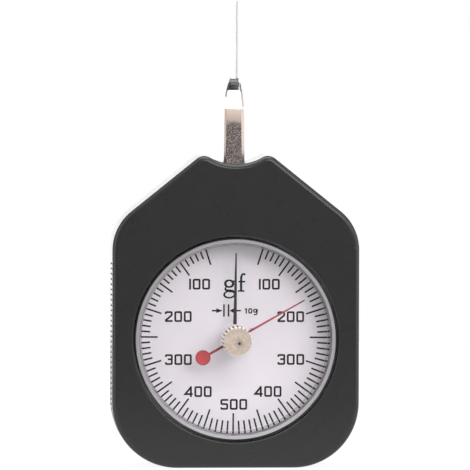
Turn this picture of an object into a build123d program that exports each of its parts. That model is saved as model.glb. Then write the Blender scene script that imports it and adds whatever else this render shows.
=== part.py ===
from build123d import *
import os
from math import acos, cos, hypot, pi, radians, sin, sqrt, tan

# Dial force gauge: a hand-held case with a swinging feeler lever on top and a dial on the front.
#
# Everything is drawn as the dial is read: x to the right, y up the dial, z out of the dial
# towards the reader, in millimetres. stand_up() then turns each piece so that +Z is up and the
# dial faces -Y. The origin is the middle of the bottom face, halfway through the case.

# ---- driving dimensions -------------------------------------------------------------------

# case
CASE_WIDTH = 62.0
CASE_DEPTH = 19.0
FRONT_DEPTH = 9.4            # front face to the joint between the two shells
WALL = 1.8
BOTTOM_CORNER_R = 16.4
SHOULDER_CORNER_R = 12.6
SHOULDER_SLOPE = radians(38.8)
SHOULDER_Y = 60.67           # where the sharp corner under each shoulder would be
NOTCH_Y = 76.24              # lowest point of the saddle that the lever comes out of
NOTCH_R = 13.3
CREST_R = 2.9
FRONT_EDGE_R = 1.2
REAR_EDGE_R = 2.0
REAR_INSET = 0.3             # the rear shell is this much smaller, apart from its foot
LIP_HEIGHT = 1.0
LIP_WALL = 0.9
LIP_GAP = 0.08
SLOT_HALF_WIDTH = 5.3        # slot in the saddle for the lever
GRIP_RIBS = 29
GRIP_PITCH = 1.314
GRIP_LOWEST = 14.3
GRIP_GROOVE_WIDTH = 0.66
GRIP_GROOVE_DEPTH = 0.42

# screws that hold the shells together, with the movement plate between them
COVER_SCREW_AT = [(-22.0, 9.0), (22.0, 9.0), (-19.0, 62.0), (19.0, 62.0)]
BOSS_R = 2.6
COVER_SCREW_R = 1.0
COVER_HEAD_R = 1.75
COVER_HEAD_HEIGHT = 1.2
COVER_HEAD_RECESS = 1.6

# window, crystal and dial
DIAL_Y = 32.3                # height of the dial's centre
WINDOW_R = 25.87
BEZEL_R = 25.27
BEZEL_BORE_R = 23.7
CRYSTAL_GAP = 0.08           # between the crystal's rim and its seat
CRYSTAL_SEAT_BEVEL = 0.12
BEZEL_SET_BACK = 0.4         # front face of the case to the front of the bezel
CRYSTAL_R = 24.05
CRYSTAL_THICKNESS = 1.0
DIAL_SET_BACK = 9.4
DIAL_R = 24.9
DIAL_THICKNESS = 0.5
DIAL_HOLE_R = 1.4
DIAL_FOOT_R = 0.5
DIAL_FOOT_X = 15.0
SPACER_THICKNESS = 1.2
SPACER_BORE_R = 22.9
COLLAR_R = 26.6
COLLAR_BORE_R = 25.0
COLLAR_FRONT = 0.8           # the collar starts this far in front of the dial
LUG_RADIUS = 28.2
LUG_R = 2.2
LUG_THICKNESS = 1.2
LUG_ANGLES = (90, 210, 330)

# movement
MODULE = 0.3
SECTOR_TEETH_FULL_CIRCLE = 240
SECTOR_TEETH = 19
PINION_TEETH = 16
PRESSURE_ANGLE = radians(20)
BACKLASH = 0.035
PLATE_THICKNESS = 1.0
PLATE_GAP = 3.6
BRIDGE_THICKNESS = 0.8
LEVER_SWING = radians(12)
STOP_MARGIN = radians(0.3)
TOP_PILLAR = (7.5, 67.4)
LOW_PILLAR = (9.0, 26.0)
PILLAR_R = 1.5
RUNNING_GAP = 0.03           # radial clearance of every pivot in its bush
SECTOR_HUB_HALF_WIDTH = 2.2
SECTOR_HALF_FAN = radians(14.9)
STOP_PIN_R = 0.8
STOP_PIN_REACH = 28.0        # down the sector's side from the lever's pivot
DRIVE_PIN_R = 0.5
FRONT_PIVOT_R = 0.9          # lever arbor in the plate
REAR_PIVOT_R = 0.6           # lever arbor in the bridge
PINION_ARBOR_R = 0.6
PINION_REAR_PIVOT_R = 0.4
POINTER_SEAT_R = 0.45        # thin end of the pinion arbor that carries the main pointer

# springs
HAIRSPRING_STRIP = 0.14
HAIRSPRING_PITCH = 0.72
HAIRSPRING_TURNS = 5
HAIRSPRING_INNER_R = 1.35
HAIRSPRING_WIDTH = 0.9
HAIRSPRING_STUD_R = 0.5
LEAF_THICKNESS = 0.25
LEAF_LOW_Y = 42.0
LEAF_OVERLAP = 1.8           # the leaves reach this far above the drive pin
CLAMP_Y = 44.3
CLAMP_SCREW_AT = (2.3, 44.6)
CLAMP_SCREW_R = 0.5

# lever and feeler
LEVER_THICKNESS = 2.3
LEVER_HUB_R = 3.3
LEVER_WIDTH = 4.85
LEVER_BASE_WIDTH = 5.2
LEVER_BEVEL_LEFT = 0.45      # along the shank's front edges
LEVER_BEVEL_RIGHT = 0.72
LEVER_BEVEL_DEPTH = 0.5
LEVER_BEVEL_DRAW_IN = 0.55     # by which the bevels close in on the head
HEAD_START_Y = 90.0          # the sides curve in from here to the tip
HEAD_TIP_Y = 97.5
HEAD_TIP_HALF_WIDTH = 1.05
HEAD_ROUND_Y = 96.35         # centre of the round that ends the head, seen from its side
HEAD_CURVE_Y = 86.0          # the front begins to fall back here,
HEAD_FACET_Y = 89.7          # breaks into a flat slope here
HEAD_CURVE_DROP = 0.15
HEAD_FACET_DROP = 1.05       # and has fallen back this far at the slot
FORK_PIN_Y = 95.86
FORK_PIN_R = 0.4
FORK_SLOT = 1.8
FORK_SLOT_BOTTOM = 94.4
FEELER_TIP_Y = 116.95
FEELER_THICKNESS = 0.75
FEELER_EYE_R = 1.42
FEELER_SIDE_GAP = 0.03

# pointers and reset knob
MAIN_POINTER_ABOVE_DIAL = 4.1
MAIN_POINTER_LENGTH = 21.6
MAIN_POINTER_TIP_WIDTH = 0.34
MAIN_POINTER_ROOT_WIDTH = 0.92
MAIN_POINTER_HUB_R = 3.5
MAIN_POINTER_ANGLE = 0.8     # degrees clockwise from the top of the dial
PEAK_POINTER_ABOVE_DIAL = 7.7
PEAK_POINTER_ANGLE = 60.5    # degrees clockwise from the top of the dial
PEAK_POINTER_LENGTH = 20.0
PEAK_TAIL_LENGTH = 9.4
PEAK_DISC_R = 1.9
POINTER_SHEET = 0.25
DRAG_PIN_RADIUS = 4.8
DRAG_PIN_R = 0.3
DRAG_PIN_SHORTFALL = 0.2
KNOB_R = 3.76
KNOB_TOP_ABOVE_DIAL = 16.6
KNOB_TEETH = 22
KNOB_TOOTH_DEPTH = 0.3
KNOB_FACE_R = 3.42
KNOB_SHAFT_R = 1.0
KNOB_BUSH_R = 1.7
POINTER_BOSS_R = 1.6
KNOB_DIMPLE_AT = (0.42, -0.6)
KNOB_DIMPLE_R = 0.6
KNOB_DIMPLE_DEPTH = 0.4

# ---- planes and places worked out from them ---------------------------------------------------

FACE_Z = CASE_DEPTH / 2
BACK_Z = -CASE_DEPTH / 2
SPLIT_Z = FACE_Z - FRONT_DEPTH
DIAL_Z = FACE_Z - DIAL_SET_BACK
BEZEL_Z = FACE_Z - BEZEL_SET_BACK
CRYSTAL_BACK_Z = BEZEL_Z - CRYSTAL_THICKNESS
DIAL_BACK_Z = DIAL_Z - DIAL_THICKNESS
PLATE_FRONT_Z = DIAL_BACK_Z - SPACER_THICKNESS
PLATE_BACK_Z = PLATE_FRONT_Z - PLATE_THICKNESS
BRIDGE_FRONT_Z = PLATE_BACK_Z - PLATE_GAP
BRIDGE_BACK_Z = BRIDGE_FRONT_Z - BRIDGE_THICKNESS
LEVER_BACK_Z = PLATE_FRONT_Z + 0.3
LEVER_FRONT_Z = LEVER_BACK_Z + LEVER_THICKNESS
LEVER_MID_Z = (LEVER_BACK_Z + LEVER_FRONT_Z) / 2
SECTOR_R = MODULE * SECTOR_TEETH_FULL_CIRCLE / 2
PINION_R = MODULE * PINION_TEETH / 2
PIVOT_Y = DIAL_Y + SECTOR_R + PINION_R
SECTOR_FRONT_Z = PLATE_BACK_Z - 0.3
SECTOR_BACK_Z = SECTOR_FRONT_Z - 1.0
DRIVE_PIN_DROP = 12.0        # below the lever's pivot
SPRING_FRONT_Z = SECTOR_BACK_Z - 0.4
SPRING_BACK_Z = SPRING_FRONT_Z - 1.4
FEELER_X = FORK_SLOT / 2 - FEELER_SIDE_GAP - FEELER_THICKNESS / 2


# ---- helpers --------------------------------------------------------------------------------

def slab(sketch, z_low, z_high):
    """A flat piece of the sketch's outline between two planes."""
    return Pos(0, 0, z_low) * extrude(sketch, z_high - z_low)


def disc(x, y, radius, z_low, z_high):
    """A round bar along z."""
    return Pos(x, y, (z_low + z_high) / 2) * Cylinder(radius, z_high - z_low)


def ring(x, y, outer, inner, z_low, z_high):
    """A tube along z."""
    return disc(x, y, outer, z_low, z_high) - disc(x, y, inner, z_low - 1, z_high + 1)


def spot(x, y, radius):
    """A filled circle to draw outlines with."""
    return Pos(x, y) * Circle(radius)


def hull(*spots):
    """The outline of a band stretched round some circles."""
    edges = ShapeList()
    for each in spots:
        edges += each.edges()
    return make_hull(edges)


def both_sides(points):
    """Each place and its mirror image in the middle plane."""
    return [(side * x, y) for x, y in points for side in (-1, 1)]


def stand_up(shape):
    """Turn a piece from reading position to standing position."""
    return Rot(90, 0, 0) * shape


# ---- case -----------------------------------------------------------------------------------

def case_outline(inset=0.0):
    """House shape with round corners and a saddle on top. The foot stays where it is."""
    half = CASE_WIDTH / 2 - inset
    shift = inset / cos(SHOULDER_SLOPE) - inset * tan(SHOULDER_SLOPE)
    corner_y = SHOULDER_Y - shift
    radius = NOTCH_R + inset
    centre_y = NOTCH_Y + NOTCH_R
    # the crest is where the shoulder line meets the saddle's circle
    slope = tan(SHOULDER_SLOPE)
    rise = corner_y + half * slope - centre_y
    a = 1 + slope ** 2
    b = -2 * slope * rise
    c = rise ** 2 - radius ** 2
    crest_x = (-b + sqrt(b ** 2 - 4 * a * c)) / (2 * a)
    crest_y = corner_y + (half - crest_x) * slope
    low_point = (0, centre_y - radius)
    edges = Polyline((-crest_x, crest_y), (-half, corner_y), (-half, 0), (half, 0),
                     (half, corner_y), (crest_x, crest_y)).edges()
    edges += ThreePointArc((crest_x, crest_y), low_point, (-crest_x, crest_y)).edges()
    face = make_face(edges)
    face = fillet(face.vertices().filter_by(lambda v: v.Y < 1), BOTTOM_CORNER_R - inset)
    shoulders = face.vertices().filter_by(lambda v: abs(abs(v.X) - half) < 0.01
                                          and abs(v.Y - corner_y) < 0.01)
    face = fillet(shoulders, SHOULDER_CORNER_R - inset)
    crests = face.vertices().filter_by(lambda v: abs(abs(v.X) - crest_x) < 0.01
                                       and v.Y > corner_y + 2)
    return fillet(crests, max(CREST_R - inset, 0.4))


def cavity_outline(outer_inset, wall):
    """The case outline drawn in by a wall all round, foot included."""
    return offset(case_outline(outer_inset), amount=-wall, kind=Kind.INTERSECTION)


def lever_slot():
    """The space cut out of the saddle so that the lever can swing."""
    wide = 2 * SLOT_HALF_WIDTH
    tall = 14.0
    deep = LEVER_THICKNESS + 1.2
    return Pos(0, NOTCH_Y, LEVER_MID_Z) * Box(wide, tall, deep)


def grip_grooves():
    """V grooves across both flanks of the front shell, which leave the grip's ribs."""
    grooves = []
    z_low = SPLIT_Z + 0.7
    z_high = FACE_Z - FRONT_EDGE_R - 0.3
    for i in range(GRIP_RIBS):
        y = GRIP_LOWEST + i * GRIP_PITCH
        for side in (-1, 1):
            edge_x = side * (CASE_WIDTH / 2 + 0.05)
            root_x = side * (CASE_WIDTH / 2 - GRIP_GROOVE_DEPTH)
            low = y - GRIP_GROOVE_WIDTH / 2
            high = y + GRIP_GROOVE_WIDTH / 2
            groove = make_face(Polyline((edge_x, low), (root_x, y), (edge_x, high), close=True))
            grooves.append(slab(groove, z_low, z_high))
    return grooves


def front_case():
    """Moulded front shell: window, four screw bosses, lever slot and grip grooves."""
    inner_z = FACE_Z - WALL
    body = slab(case_outline(), SPLIT_Z, FACE_Z)
    body = fillet(body.faces().sort_by(Axis.Z)[-1].edges(), FRONT_EDGE_R)
    body -= slab(cavity_outline(0, WALL), SPLIT_Z - 1, inner_z)
    for x, y in COVER_SCREW_AT:
        body += disc(x, y, BOSS_R, PLATE_FRONT_Z, inner_z + 0.2)
        body -= disc(x, y, COVER_SCREW_R + 0.02, PLATE_FRONT_Z - 1, PLATE_FRONT_Z + 5.2)
    window = disc(0, DIAL_Y, WINDOW_R, inner_z - 1, FACE_Z + 1)
    body -= window
    rim = body.edges().filter_by(GeomType.CIRCLE)
    rim = rim.filter_by(lambda e: abs(e.radius - WINDOW_R) < 0.01)
    rim = rim.filter_by(lambda e: e.center().Z > FACE_Z - 0.01)
    body = fillet(rim, 0.3)
    body -= lever_slot()
    body -= grip_grooves()
    return body


def rear_cover():
    """Rear shell: a pan with a lip that enters the front shell and recesses for its screws."""
    inner_z = BACK_Z + WALL
    body = slab(case_outline(REAR_INSET), BACK_Z, SPLIT_Z)
    body = fillet(body.faces().sort_by(Axis.Z)[0].edges(), REAR_EDGE_R)
    body -= slab(cavity_outline(REAR_INSET, WALL), inner_z, SPLIT_Z + 1)
    lip_outer = cavity_outline(0, WALL + LIP_GAP)
    lip_inner = cavity_outline(0, WALL + LIP_GAP + LIP_WALL)
    body += slab(lip_outer - lip_inner, SPLIT_Z - 1.5, SPLIT_Z + LIP_HEIGHT)
    for x, y in COVER_SCREW_AT:
        body += disc(x, y, BOSS_R, inner_z - 0.2, PLATE_BACK_Z)
        body -= disc(x, y, COVER_SCREW_R + 0.1, BACK_Z - 1, PLATE_BACK_Z + 1)
        body -= disc(x, y, COVER_HEAD_R + 0.15, BACK_Z - 1, BACK_Z + COVER_HEAD_RECESS)
    body -= lever_slot()
    return body


def cover_screws():
    """Four screws from the back, heads sunk below the rear face."""
    screws = []
    seat_z = BACK_Z + COVER_HEAD_RECESS
    for x, y in COVER_SCREW_AT:
        head = disc(x, y, COVER_HEAD_R, seat_z - COVER_HEAD_HEIGHT, seat_z)
        head = chamfer(head.edges().sort_by(Axis.Z)[0], 0.25)
        slot = Pos(x, y, seat_z - COVER_HEAD_HEIGHT) * Box(0.5, 2 * COVER_HEAD_R + 1, 1.0)
        shank = disc(x, y, COVER_SCREW_R, seat_z, PLATE_FRONT_Z + 4.8)
        shank = chamfer(shank.edges().sort_by(Axis.Z)[-1], 0.3)
        screws.append(head - slot + shank)
    return screws


# ---- window, dial and bezel --------------------------------------------------------------------

def bezel():
    """Metal tube round the dial: it carries the crystal and clamps the dial to the plate."""
    body = disc(0, DIAL_Y, BEZEL_R, DIAL_Z - 0.2, BEZEL_Z)
    body = chamfer(body.edges().sort_by(Axis.Z)[-1], 0.2)
    body += disc(0, DIAL_Y, COLLAR_R, PLATE_FRONT_Z, DIAL_Z + COLLAR_FRONT)
    for angle in LUG_ANGLES:
        x = LUG_RADIUS * cos(radians(angle))
        y = DIAL_Y + LUG_RADIUS * sin(radians(angle))
        inner = spot(x * 0.9, DIAL_Y + (y - DIAL_Y) * 0.9, LUG_R)
        lug = hull(spot(x, y, LUG_R), inner)
        body += slab(lug, PLATE_FRONT_Z, PLATE_FRONT_Z + LUG_THICKNESS)
        body -= disc(x, y, 0.75, PLATE_FRONT_Z - 1, PLATE_FRONT_Z + LUG_THICKNESS + 1)
    body -= disc(0, DIAL_Y, BEZEL_BORE_R, DIAL_Z - 1, BEZEL_Z + 1)
    seat_r = CRYSTAL_R + CRYSTAL_GAP
    body -= disc(0, DIAL_Y, seat_r, CRYSTAL_BACK_Z, BEZEL_Z + 1)
    mouth = body.edges().filter_by(GeomType.CIRCLE).filter_by(lambda e: abs(e.radius - seat_r) < 0.01)
    body = chamfer(mouth.sort_by(Axis.Z)[-1], CRYSTAL_SEAT_BEVEL)
    body -= disc(0, DIAL_Y, COLLAR_BORE_R, PLATE_FRONT_Z - 1, DIAL_Z)
    return body


def bezel_screws():
    """Three cheese-head screws that hold the bezel's lugs on the plate."""
    screws = []
    head_z = PLATE_FRONT_Z + LUG_THICKNESS
    for angle in LUG_ANGLES:
        x = LUG_RADIUS * cos(radians(angle))
        y = DIAL_Y + LUG_RADIUS * sin(radians(angle))
        head = disc(x, y, 1.3, head_z, head_z + 0.8)
        head -= Pos(x, y, head_z + 0.8) * Box(3.0, 0.35, 0.7)
        screws.append(head + disc(x, y, 0.7, PLATE_BACK_Z, head_z))
    return screws


def crystal():
    """Clear disc over the dial, with a hole for the reset knob's bush."""
    body = disc(0, DIAL_Y, CRYSTAL_R, CRYSTAL_BACK_Z, BEZEL_Z)
    body = chamfer(body.edges().sort_by(Axis.Z)[-1], 0.15)
    return body - disc(0, DIAL_Y, KNOB_BUSH_R + 0.02, CRYSTAL_BACK_Z - 1, BEZEL_Z + 1)


def knob_bush():
    """Flanged bush in the middle of the crystal that the knob's shaft turns in."""
    body = disc(0, DIAL_Y, KNOB_BUSH_R, CRYSTAL_BACK_Z, BEZEL_Z)
    body += disc(0, DIAL_Y, KNOB_BUSH_R + 0.6, BEZEL_Z, BEZEL_Z + 0.25)
    return body - disc(0, DIAL_Y, KNOB_SHAFT_R + RUNNING_GAP, CRYSTAL_BACK_Z - 1, BEZEL_Z + 1)


def dial():
    """Dial plate on two feet that locate it in the movement plate."""
    body = disc(0, DIAL_Y, DIAL_R, DIAL_BACK_Z, DIAL_Z)
    body -= disc(0, DIAL_Y, DIAL_HOLE_R, DIAL_BACK_Z - 1, DIAL_Z + 1)
    for side in (-1, 1):
        foot = disc(side * DIAL_FOOT_X, DIAL_Y, DIAL_FOOT_R, PLATE_BACK_Z, DIAL_BACK_Z + 0.1)
        body += foot
    return body


def dial_spacer():
    """Ring that holds the dial off the movement plate."""
    return ring(0, DIAL_Y, DIAL_R, SPACER_BORE_R, PLATE_FRONT_Z, DIAL_BACK_Z)


# ---- movement frame ----------------------------------------------------------------------------

def stop_pin_places():
    """Where the stop pins stand so that the sector's side meets them just past its swing."""
    turn = LEVER_SWING + STOP_MARGIN
    run_x, run_y = sector_side()
    along_x = run_x * cos(turn) - run_y * sin(turn)
    along_y = run_x * sin(turn) + run_y * cos(turn)
    start_x = SECTOR_HUB_HALF_WIDTH * cos(turn)
    start_y = SECTOR_HUB_HALF_WIDTH * sin(turn)
    x = start_x + STOP_PIN_REACH * along_x - STOP_PIN_R * along_y
    y = start_y + STOP_PIN_REACH * along_y + STOP_PIN_R * along_x
    return both_sides([(x, PIVOT_Y + y)])


def front_plate():
    """Main plate of the movement, clamped between the shells' bosses."""
    shoulders = [spot(x, y, 2.6) for x, y in both_sides([TOP_PILLAR])]
    outline = hull(spot(0, DIAL_Y, 27.3), spot(0, PIVOT_Y, 3.0), *shoulders)
    for x, y in COVER_SCREW_AT:
        inner_x = x * 0.75
        inner_y = DIAL_Y + (y - DIAL_Y) * 0.75
        outline += hull(spot(x, y, 3.0), spot(inner_x, inner_y, 3.6))
    for angle in LUG_ANGLES:
        x = LUG_RADIUS * cos(radians(angle))
        y = DIAL_Y + LUG_RADIUS * sin(radians(angle))
        outline += spot(x, y, LUG_R)
    body = slab(outline, PLATE_BACK_Z, PLATE_FRONT_Z)
    holes = [(x, y, COVER_SCREW_R + 0.1) for x, y in COVER_SCREW_AT]
    for angle in LUG_ANGLES:
        x = LUG_RADIUS * cos(radians(angle))
        holes.append((x, DIAL_Y + LUG_RADIUS * sin(radians(angle)), 0.7))
    holes += [(side * DIAL_FOOT_X, DIAL_Y, DIAL_FOOT_R + 0.05) for side in (-1, 1)]
    holes += [(0, PIVOT_Y, 1.6), (0, DIAL_Y, 1.3)]
    holes += [(x, y, STOP_PIN_R) for x, y in stop_pin_places()]
    for x, y, radius in holes:
        body -= disc(x, y, radius, PLATE_BACK_Z - 1, PLATE_FRONT_Z + 1)
    return body


def pillar_places():
    return both_sides([TOP_PILLAR, LOW_PILLAR])


def pillars():
    """Four posts that hold the rear bridge off the plate."""
    posts = []
    for x, y in pillar_places():
        post = disc(x, y, PILLAR_R, BRIDGE_FRONT_Z, PLATE_BACK_Z)
        posts.append(post - disc(x, y, 0.62, BRIDGE_FRONT_Z - 1, BRIDGE_FRONT_Z + 2.0))
    return posts


def rear_bridge():
    """Skeleton bridge that carries the rear pivots of the lever and the pinion."""
    spots = [spot(x, y, 2.5) for x, y in pillar_places()]
    outline = hull(*spots, spot(0, PIVOT_Y, 3.0))
    body = slab(outline, BRIDGE_BACK_Z, BRIDGE_FRONT_Z)
    upper = Pos(0, 60.6) * RectangleRounded(11.0, 6.4, 2.0)
    lower = Pos(0, 39.3) * RectangleRounded(11.0, 4.0, 1.5)
    body -= slab(upper + lower, BRIDGE_BACK_Z - 1, BRIDGE_FRONT_Z + 1)
    for x, y in pillar_places():
        body -= disc(x, y, 0.7, BRIDGE_BACK_Z - 1, BRIDGE_FRONT_Z + 1)
    body -= disc(0, PIVOT_Y, 1.3, BRIDGE_BACK_Z - 1, BRIDGE_FRONT_Z + 1)
    body -= disc(0, DIAL_Y, 1.0, BRIDGE_BACK_Z - 1, BRIDGE_FRONT_Z + 1)
    return body


def bridge_screws():
    """Four small screws that hold the bridge on its posts."""
    screws = []
    for x, y in pillar_places():
        head = disc(x, y, 1.3, BRIDGE_BACK_Z - 0.5, BRIDGE_BACK_Z)
        head -= Pos(x, y, BRIDGE_BACK_Z - 0.5) * Box(3.0, 0.3, 0.5)
        screws.append(head + disc(x, y, 0.6, BRIDGE_BACK_Z, BRIDGE_FRONT_Z + 1.8))
    return screws


def stop_pins():
    """Two pins that stop the sector just past full scale."""
    z_low = SECTOR_BACK_Z - 0.2
    return [disc(x, y, STOP_PIN_R, z_low, PLATE_FRONT_Z) for x, y in stop_pin_places()]


def lever_bush_front():
    inner = FRONT_PIVOT_R + RUNNING_GAP
    return ring(0, PIVOT_Y, 1.6, inner, PLATE_BACK_Z - 0.1, PLATE_FRONT_Z + 0.15)


def lever_bush_rear():
    inner = REAR_PIVOT_R + RUNNING_GAP
    return ring(0, PIVOT_Y, 1.3, inner, BRIDGE_BACK_Z, BRIDGE_FRONT_Z + 0.2)


def pinion_bush_front():
    inner = PINION_ARBOR_R + RUNNING_GAP
    return ring(0, DIAL_Y, 1.3, inner, PLATE_BACK_Z, PLATE_FRONT_Z + 0.3)


def pinion_bush_rear():
    inner = PINION_REAR_PIVOT_R + RUNNING_GAP
    return ring(0, DIAL_Y, 1.0, inner, BRIDGE_BACK_Z, BRIDGE_FRONT_Z + 0.2)


# ---- gears --------------------------------------------------------------------------------------

def involute_angle(base_r, radius):
    """How far the involute has turned at a radius."""
    pressure = acos(base_r / radius)
    return tan(pressure) - pressure


def tooth_points(teeth, tip_r, root_r, centre_angle):
    """Points round one tooth, from its left root to its right root, for a gear at the origin."""
    pitch_r = MODULE * teeth / 2
    base_r = pitch_r * cos(PRESSURE_ANGLE)
    half_pitch = pi / (2 * teeth) - BACKLASH / (4 * pitch_r)
    start_r = max(base_r, root_r)
    flank = []
    steps = 5
    for i in range(steps + 1):
        radius = start_r + (tip_r - start_r) * i / steps
        spread = half_pitch + involute_angle(base_r, pitch_r) - involute_angle(base_r, radius)
        flank.append((radius, spread))
    if root_r < start_r:
        flank.insert(0, (root_r, flank[0][1]))
    left = [(r, centre_angle + s) for r, s in flank]
    right = [(r, centre_angle - s) for r, s in reversed(flank)]
    return [(r * cos(a), r * sin(a)) for r, a in left + right]


def sector_side():
    """Direction of the fan's straight side, down from beside the pivot."""
    rim_r = SECTOR_R - 1.25 * MODULE
    run_x = rim_r * sin(SECTOR_HALF_FAN) - SECTOR_HUB_HALF_WIDTH
    run_y = -rim_r * cos(SECTOR_HALF_FAN)
    length = hypot(run_x, run_y)
    return run_x / length, run_y / length


def sector_gear():
    """Fan-shaped gear on the lever's arbor. It turns the pinion fifteen times as fast."""
    tip_r = SECTOR_R + 0.83 * MODULE
    root_r = SECTOR_R - 1.25 * MODULE
    pitch_angle = 2 * pi / SECTOR_TEETH_FULL_CIRCLE
    down = -pi / 2
    rim_x = root_r * sin(SECTOR_HALF_FAN)
    rim_y = -root_r * cos(SECTOR_HALF_FAN)
    points = [(-SECTOR_HUB_HALF_WIDTH, 0), (-rim_x, rim_y)]
    for i in range(SECTOR_TEETH):
        angle = down + (i - (SECTOR_TEETH - 1) / 2) * pitch_angle
        tooth = tooth_points(SECTOR_TEETH_FULL_CIRCLE, tip_r, root_r, angle)
        points += reversed(tooth)
    points += [(rim_x, rim_y), (SECTOR_HUB_HALF_WIDTH, 0)]
    fan = make_face(Polyline(*points, close=True)) + Circle(2.8)
    for side in (-1, 1):
        gap = make_face(Polyline((side * 1.5, -8.5), (side * 1.5, -32.2), (side * 6.6, -31.6),
                                 (side * 2.0, -8.5), close=True))
        fan -= fillet(gap.vertices(), 0.22)
    body = slab(Pos(0, PIVOT_Y) * fan, SECTOR_BACK_Z, SECTOR_FRONT_Z)
    body -= disc(0, PIVOT_Y, 1.1, SECTOR_BACK_Z - 1, SECTOR_FRONT_Z + 1)
    return body - disc(0, PIVOT_Y - DRIVE_PIN_DROP, DRIVE_PIN_R, SECTOR_BACK_Z - 1, SECTOR_FRONT_Z + 1)


def pinion_arbor():
    """Pinion cut on the arbor that carries the main pointer through the dial."""
    tip_r = PINION_R + MODULE
    root_r = PINION_R - 1.25 * MODULE
    points = []
    for i in range(PINION_TEETH):
        angle = pi / 2 + (i + 0.5) * 2 * pi / PINION_TEETH
        points += reversed(tooth_points(PINION_TEETH, tip_r, root_r, angle))
    points.reverse()
    teeth = make_face(Polyline(*points, close=True))
    body = slab(Pos(0, DIAL_Y) * teeth, SECTOR_BACK_Z - 0.15, SECTOR_FRONT_Z + 0.15)
    pointer_z = DIAL_Z + MAIN_POINTER_ABOVE_DIAL
    body += disc(0, DIAL_Y, PINION_ARBOR_R, BRIDGE_FRONT_Z + 0.3, pointer_z - 1.3)
    body += disc(0, DIAL_Y, PINION_REAR_PIVOT_R, BRIDGE_BACK_Z, BRIDGE_FRONT_Z + 0.4)
    body += disc(0, DIAL_Y, POINTER_SEAT_R, DIAL_Z, pointer_z + 0.5)
    return body


def lever_arbor():
    """Stepped arbor that joins the lever in front of the plate to the sector behind it."""
    body = disc(0, PIVOT_Y, REAR_PIVOT_R, BRIDGE_BACK_Z, BRIDGE_FRONT_Z + 0.35)
    body += disc(0, PIVOT_Y, 1.1, BRIDGE_FRONT_Z + 0.3, PLATE_BACK_Z - 0.15)
    body += disc(0, PIVOT_Y, FRONT_PIVOT_R, PLATE_BACK_Z - 0.2, LEVER_FRONT_Z)
    rivet = disc(0, PIVOT_Y, 1.5, LEVER_FRONT_Z, LEVER_FRONT_Z + 0.4)
    return body + chamfer(rivet.edges().sort_by(Axis.Z)[-1], 0.25)


# ---- springs -----------------------------------------------------------------------------------

def hairspring():
    """Spiral that takes up the backlash, drawn as half circles that grow by half a pitch."""
    inner_side = []
    outer_side = []
    radius = HAIRSPRING_INNER_R + HAIRSPRING_STRIP / 2
    for half in range(2 * HAIRSPRING_TURNS):
        above = half % 2 == 0
        centre_x = 0 if above else HAIRSPRING_PITCH / 2
        side = 1 if above else -1
        inner = radius - HAIRSPRING_STRIP / 2
        outer = radius + HAIRSPRING_STRIP / 2
        for edges, r in ((inner_side, inner), (outer_side, outer)):
            first = (centre_x + side * r, 0)
            middle = (centre_x, side * r)
            last = (centre_x - side * r, 0)
            edges.append(ThreePointArc(first, middle, last))
        radius += HAIRSPRING_PITCH / 2
    start = Line(inner_side[0] @ 0, outer_side[0] @ 0)
    end = Line(inner_side[-1] @ 1, outer_side[-1] @ 1)
    face = make_face([start, end] + inner_side + outer_side)
    z_low = BRIDGE_FRONT_Z + 0.5
    return slab(Pos(0, DIAL_Y) * face, z_low, z_low + HAIRSPRING_WIDTH)


def hairspring_end_x():
    """Where the hairspring's outer end lies, on the dial's horizontal line."""
    start_x = HAIRSPRING_INNER_R + HAIRSPRING_STRIP / 2
    return start_x + HAIRSPRING_PITCH * HAIRSPRING_TURNS


def hairspring_collet():
    """Collet that fixes the hairspring's inner end to the arbor."""
    z_low = BRIDGE_FRONT_Z + 0.45
    return ring(0, DIAL_Y, 1.3, PINION_ARBOR_R, z_low, z_low + 1.0)


def hairspring_stud():
    """Post on the bridge that holds the hairspring's outer end."""
    y = DIAL_Y + HAIRSPRING_STUD_R
    z_high = BRIDGE_FRONT_Z + 1.6
    return disc(hairspring_end_x(), y, HAIRSPRING_STUD_R, BRIDGE_FRONT_Z, z_high)


def leaf_x(side):
    """Middle of a leaf spring, which all but touches the drive pin."""
    return side * (DRIVE_PIN_R + 0.02 + LEAF_THICKNESS / 2)


def leaf_springs():
    """Pair of flat springs that the drive pin bends to one side or the other."""
    springs = []
    top_y = PIVOT_Y - DRIVE_PIN_DROP + LEAF_OVERLAP
    for side in (-1, 1):
        middle = Pos(leaf_x(side), (top_y + LEAF_LOW_Y) / 2)
        leaf = middle * Rectangle(LEAF_THICKNESS, top_y - LEAF_LOW_Y)
        springs.append(slab(leaf, SPRING_BACK_Z, SPRING_FRONT_Z))
    return springs


def spring_clamp():
    """Block on the bridge that grips the roots of the leaf springs."""
    block = Pos(0, CLAMP_Y) * RectangleRounded(7.0, 5.8, 0.6)
    for side in (-1, 1):
        block -= Pos(leaf_x(side), CLAMP_Y + 0.4) * Rectangle(LEAF_THICKNESS + 0.01, 5.4)
    body = slab(block, BRIDGE_FRONT_Z, SPRING_FRONT_Z + 0.1)
    screw_x, screw_y = CLAMP_SCREW_AT
    for side in (-1, 1):
        body -= disc(side * screw_x, screw_y, CLAMP_SCREW_R, BRIDGE_FRONT_Z - 1, SPRING_FRONT_Z + 1)
    return body


def clamp_screws():
    """Two screws that pull the spring clamp against the bridge."""
    x, y = CLAMP_SCREW_AT
    radius = CLAMP_SCREW_R - 0.02
    z_high = SPRING_FRONT_Z + 0.1
    return [disc(side * x, y, radius, BRIDGE_FRONT_Z, z_high) for side in (-1, 1)]


def zero_post():
    """Fixed post between the leaf springs that sets the lever's middle position."""
    y = PIVOT_Y - DRIVE_PIN_DROP - 3.4
    return disc(0, y, DRIVE_PIN_R, BRIDGE_FRONT_Z, SPRING_FRONT_Z)


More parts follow.
